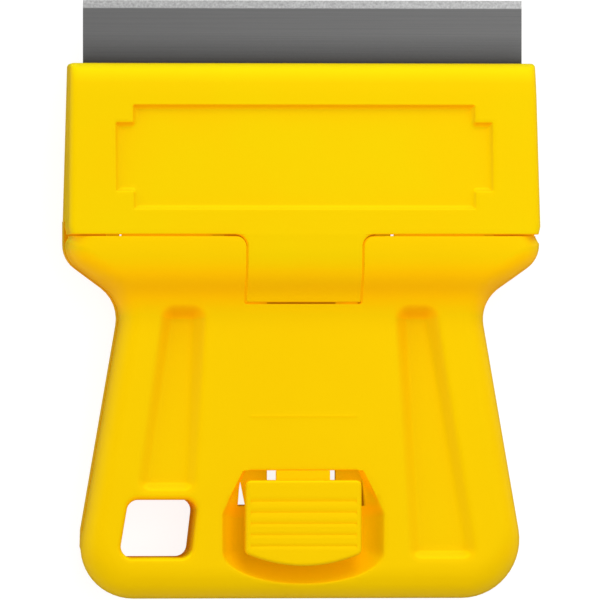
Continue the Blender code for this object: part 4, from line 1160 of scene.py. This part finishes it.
def build_lamps(level):
    """Three soft lamps and an even sky, which gloss sees darker than it lights."""
    for name, place, size, power in LAMPS:
        lamp = bpy.data.lights.new(name, "AREA")
        lamp.shape = "SQUARE"
        lamp.size = size * MM
        lamp.energy = power * level
        holder = bpy.data.objects.new(name, lamp)
        holder.location = Vector(place) * MM
        holder.rotation_euler = (-Vector(place)).to_track_quat("-Z", "Y").to_euler()
        bpy.context.scene.collection.objects.link(holder)
    world = bpy.data.worlds.new("Studio")
    bpy.context.scene.world = world
    world.use_nodes = True
    tree = world.node_tree
    sky = tree.nodes["Background"]
    sky.inputs["Color"].default_value = opaque(WHITE)
    ray = add(tree, "ShaderNodeLightPath")
    strength = add(tree, "ShaderNodeMapRange",
                   {"To Min": SKY_LEVEL * level, "To Max": SKY_LEVEL_IN_GLOSS * level},
                   _0=ray.outputs["Is Glossy Ray"])
    tree.links.new(strength.outputs[0], sky.inputs["Strength"])


def build_camera(yaw, distance):
    """A camera over the tool's front, turned a little to its left, at the photograph's angle."""
    camera = bpy.data.cameras.new("Camera")
    camera.sensor_width = SENSOR_WIDTH
    camera.lens = SENSOR_WIDTH * distance / (FRAME_HEIGHT * MM)
    camera.clip_end = FAR_CLIP * MM
    holder = bpy.data.objects.new("Camera", camera)
    backward = Vector((-math.sin(yaw), 0.0, math.cos(yaw)))
    holder.location = Vector(AIM) * MM + backward * distance
    holder.rotation_euler = (0.0, -yaw, 0.0)
    bpy.context.scene.collection.objects.link(holder)
    bpy.context.scene.camera = holder


# Settings

class ScraperSizes(bpy.types.PropertyGroup):
    """Sizes that a user may change."""
    mesh_step: bpy.props.FloatProperty(
        name="Mesh step", description="Spacing of the points on broad surfaces", subtype="DISTANCE",
        unit="LENGTH", default=0.4 * MM, min=0.2 * MM, max=2.0 * MM)
    line_count: bpy.props.IntProperty(
        name="Grip lines", description="Number of grip lines on the button", default=5, min=1, max=6)
    line_pitch: bpy.props.FloatProperty(
        name="Line pitch", description="Distance between grip lines", subtype="DISTANCE", unit="LENGTH",
        default=0.99 * MM, min=0.6 * MM)
    line_depth: bpy.props.FloatProperty(
        name="Line depth", description="Depth of a grip line", subtype="DISTANCE", unit="LENGTH",
        default=0.09 * MM, min=0.05 * MM)


class ScraperColours(bpy.types.PropertyGroup):
    """Colours and gloss of the plastic and the steel."""
    plastic: bpy.props.FloatVectorProperty(
        name="Plastic", description="Main colour of the moulded pieces", subtype="COLOR", size=3,
        default=linear("F9CB00"), min=0.0, max=1.0)
    # The guard's main colour is a little more lemon than the handle's.
    guard_plastic: bpy.props.FloatVectorProperty(
        name="Plastic, guard", description="Main colour of the guard, a little more lemon", subtype="COLOR",
        size=3, default=linear("F0CE00"), min=0.0, max=1.0)
    deep_plastic: bpy.props.FloatVectorProperty(
        name="Plastic, deeper", description="Colour of the plastic where it cooled slowly", subtype="COLOR",
        size=3, default=linear("F6C500"), min=0.0, max=1.0)
    # Painted shade: the amber colour that hollows are mixed towards.
    hollow_shade_colour: bpy.props.FloatVectorProperty(
        name="Plastic, painted hollow shade", description="Colour of the painted shade in the plastic's hollows", subtype="COLOR", size=3,
        default=linear("EA9E00"), min=0.0, max=1.0)
    roughness: bpy.props.FloatProperty(
        name="Plastic roughness", description="Roughness of the satin plastic", default=0.45, min=0.0,
        max=1.0, subtype="FACTOR")
    steel_dark: bpy.props.FloatVectorProperty(
        name="Steel, dark", description="Darkest tone of the brushed steel", subtype="COLOR", size=3,
        default=linear("545454"), min=0.0, max=1.0)
    steel_light: bpy.props.FloatVectorProperty(
        name="Steel, light", description="Lightest tone of the brushed steel", subtype="COLOR", size=3,
        default=linear("6F6F6F"), min=0.0, max=1.0)
    steel_ground: bpy.props.FloatVectorProperty(
        name="Steel, ground", description="Tone of the ground edge", subtype="COLOR", size=3,
        default=linear("C8C8C8"), min=0.0, max=1.0)


class ScraperStage(bpy.types.PropertyGroup):
    """Camera and lamps."""
    yaw: bpy.props.FloatProperty(
        name="Camera yaw", description="Turn of the camera towards the tool's left side", subtype="ANGLE",
        default=math.radians(5.0))
    distance: bpy.props.FloatProperty(
        name="Camera distance", description="Distance of the camera", subtype="DISTANCE", unit="LENGTH",
        default=1.0)
    light: bpy.props.FloatProperty(
        name="Light level", description="Factor on all lamps", default=1.0, min=0.0)


def in_mm(length):
    """A length of the settings in millimetres."""
    return round(length / MM, 4)


# Operators

class SCRAPER_OT_front_shell(bpy.types.Operator):
    """Build the handle's front shell."""
    bl_idname = "scraper.front_shell"
    bl_label = "Front shell"

    def execute(self, context):
        shell = build_front_shell(in_mm(context.scene.scraper_sizes.mesh_step))
        finish_piece(shell, "handle", "handle_front_shell",
                     moulded_plastic("Moulded satin ABS, front shell"))
        return {"FINISHED"}


class SCRAPER_OT_back_shell(bpy.types.Operator):
    """Dress the handle's back shell and the carrier plate."""
    bl_idname = "scraper.back_shell"
    bl_label = "Back shell and carrier"

    def execute(self, context):
        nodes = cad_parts
        # The back shell gets a weaker painted glow.
        coat(nodes["handle_back_shell"], moulded_plastic("Moulded satin ABS, back shell", glow=0.12))
        coat(nodes["blade_carrier"], moulded_plastic("Moulded satin ABS, carrier"))
        return {"FINISHED"}


class SCRAPER_OT_guard(bpy.types.Operator):
    """Build the sliding blade guard."""
    bl_idname = "scraper.guard"
    bl_label = "Blade guard"

    def execute(self, context):
        guard = build_guard(in_mm(context.scene.scraper_sizes.mesh_step))
        colour = context.scene.scraper_colours.guard_plastic
        finish_piece(guard, "guard", "blade_guard",
                     moulded_plastic("Moulded satin ABS, guard", colour=colour))
        return {"FINISHED"}


class SCRAPER_OT_button(bpy.types.Operator):
    """Build the latch button with its grip lines."""
    bl_idname = "scraper.button"
    bl_label = "Latch button"

    def execute(self, context):
        sizes = context.scene.scraper_sizes
        # The button gets a weaker painted glow and less painted shade in its hollows.
        material = moulded_plastic("Moulded satin ABS, button", glow=0.2, hollow_shade_share=0.3)
        button = build_button(in_mm(sizes.mesh_step), sizes.line_count, in_mm(sizes.line_pitch),
                              in_mm(sizes.line_depth), material)
        finish_piece(button, "latch", "latch_button", material)
        return {"FINISHED"}


class SCRAPER_OT_blade(bpy.types.Operator):
    """Dress the blade and its folded spine."""
    bl_idname = "scraper.blade"
    bl_label = "Blade"

    def execute(self, context):
        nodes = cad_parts
        coat(nodes["blade"], brushed_steel("Brushed carbon steel, blade"))
        coat(nodes["blade_spine"], brushed_steel("Brushed carbon steel, spine"))
        return {"FINISHED"}


class SCRAPER_OT_stage(bpy.types.Operator):
    """Set up the floor, the lamps and the camera."""
    bl_idname = "scraper.stage"
    bl_label = "Stage"

    def execute(self, context):
        settings = context.scene.scraper_stage
        build_floor()
        build_lamps(settings.light)
        build_camera(settings.yaw, settings.distance)
        context.scene.view_settings.view_transform = "Standard"
        return {"FINISHED"}


class SCRAPER_PT_panel(bpy.types.Panel):
    """The scraper's settings and operators in the 3D view's sidebar."""
    bl_label = "Hand scraper"
    bl_idname = "SCRAPER_PT_panel"
    bl_space_type = "VIEW_3D"
    bl_region_type = "UI"
    bl_category = "Scraper"

    def draw(self, context):
        scene = context.scene
        for group in (scene.scraper_sizes, scene.scraper_colours, scene.scraper_stage):
            for name in group.bl_rna.properties.keys():
                if name not in ("name", "rna_type"):
                    self.layout.prop(group, name)
        for operator in OPERATORS:
            self.layout.operator(operator.bl_idname)


SETTINGS = (ScraperSizes, ScraperColours, ScraperStage)
OPERATORS = (SCRAPER_OT_front_shell, SCRAPER_OT_back_shell, SCRAPER_OT_guard, SCRAPER_OT_button,
             SCRAPER_OT_blade, SCRAPER_OT_stage)


def register():
    for kind in SETTINGS + OPERATORS + (SCRAPER_PT_panel,):
        bpy.utils.register_class(kind)
    bpy.types.Scene.scraper_sizes = bpy.props.PointerProperty(type=ScraperSizes)
    bpy.types.Scene.scraper_colours = bpy.props.PointerProperty(type=ScraperColours)
    bpy.types.Scene.scraper_stage = bpy.props.PointerProperty(type=ScraperStage)


def unregister():
    del bpy.types.Scene.scraper_stage
    del bpy.types.Scene.scraper_colours
    del bpy.types.Scene.scraper_sizes
    for kind in reversed(SETTINGS + OPERATORS + (SCRAPER_PT_panel,)):
        bpy.utils.unregister_class(kind)


def main():
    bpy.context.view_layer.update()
    register()
    bpy.ops.scraper.front_shell()
    bpy.ops.scraper.back_shell()
    bpy.ops.scraper.guard()
    bpy.ops.scraper.button()
    bpy.ops.scraper.blade()
    bpy.ops.scraper.stage()


if __name__ == "__main__":
    main()
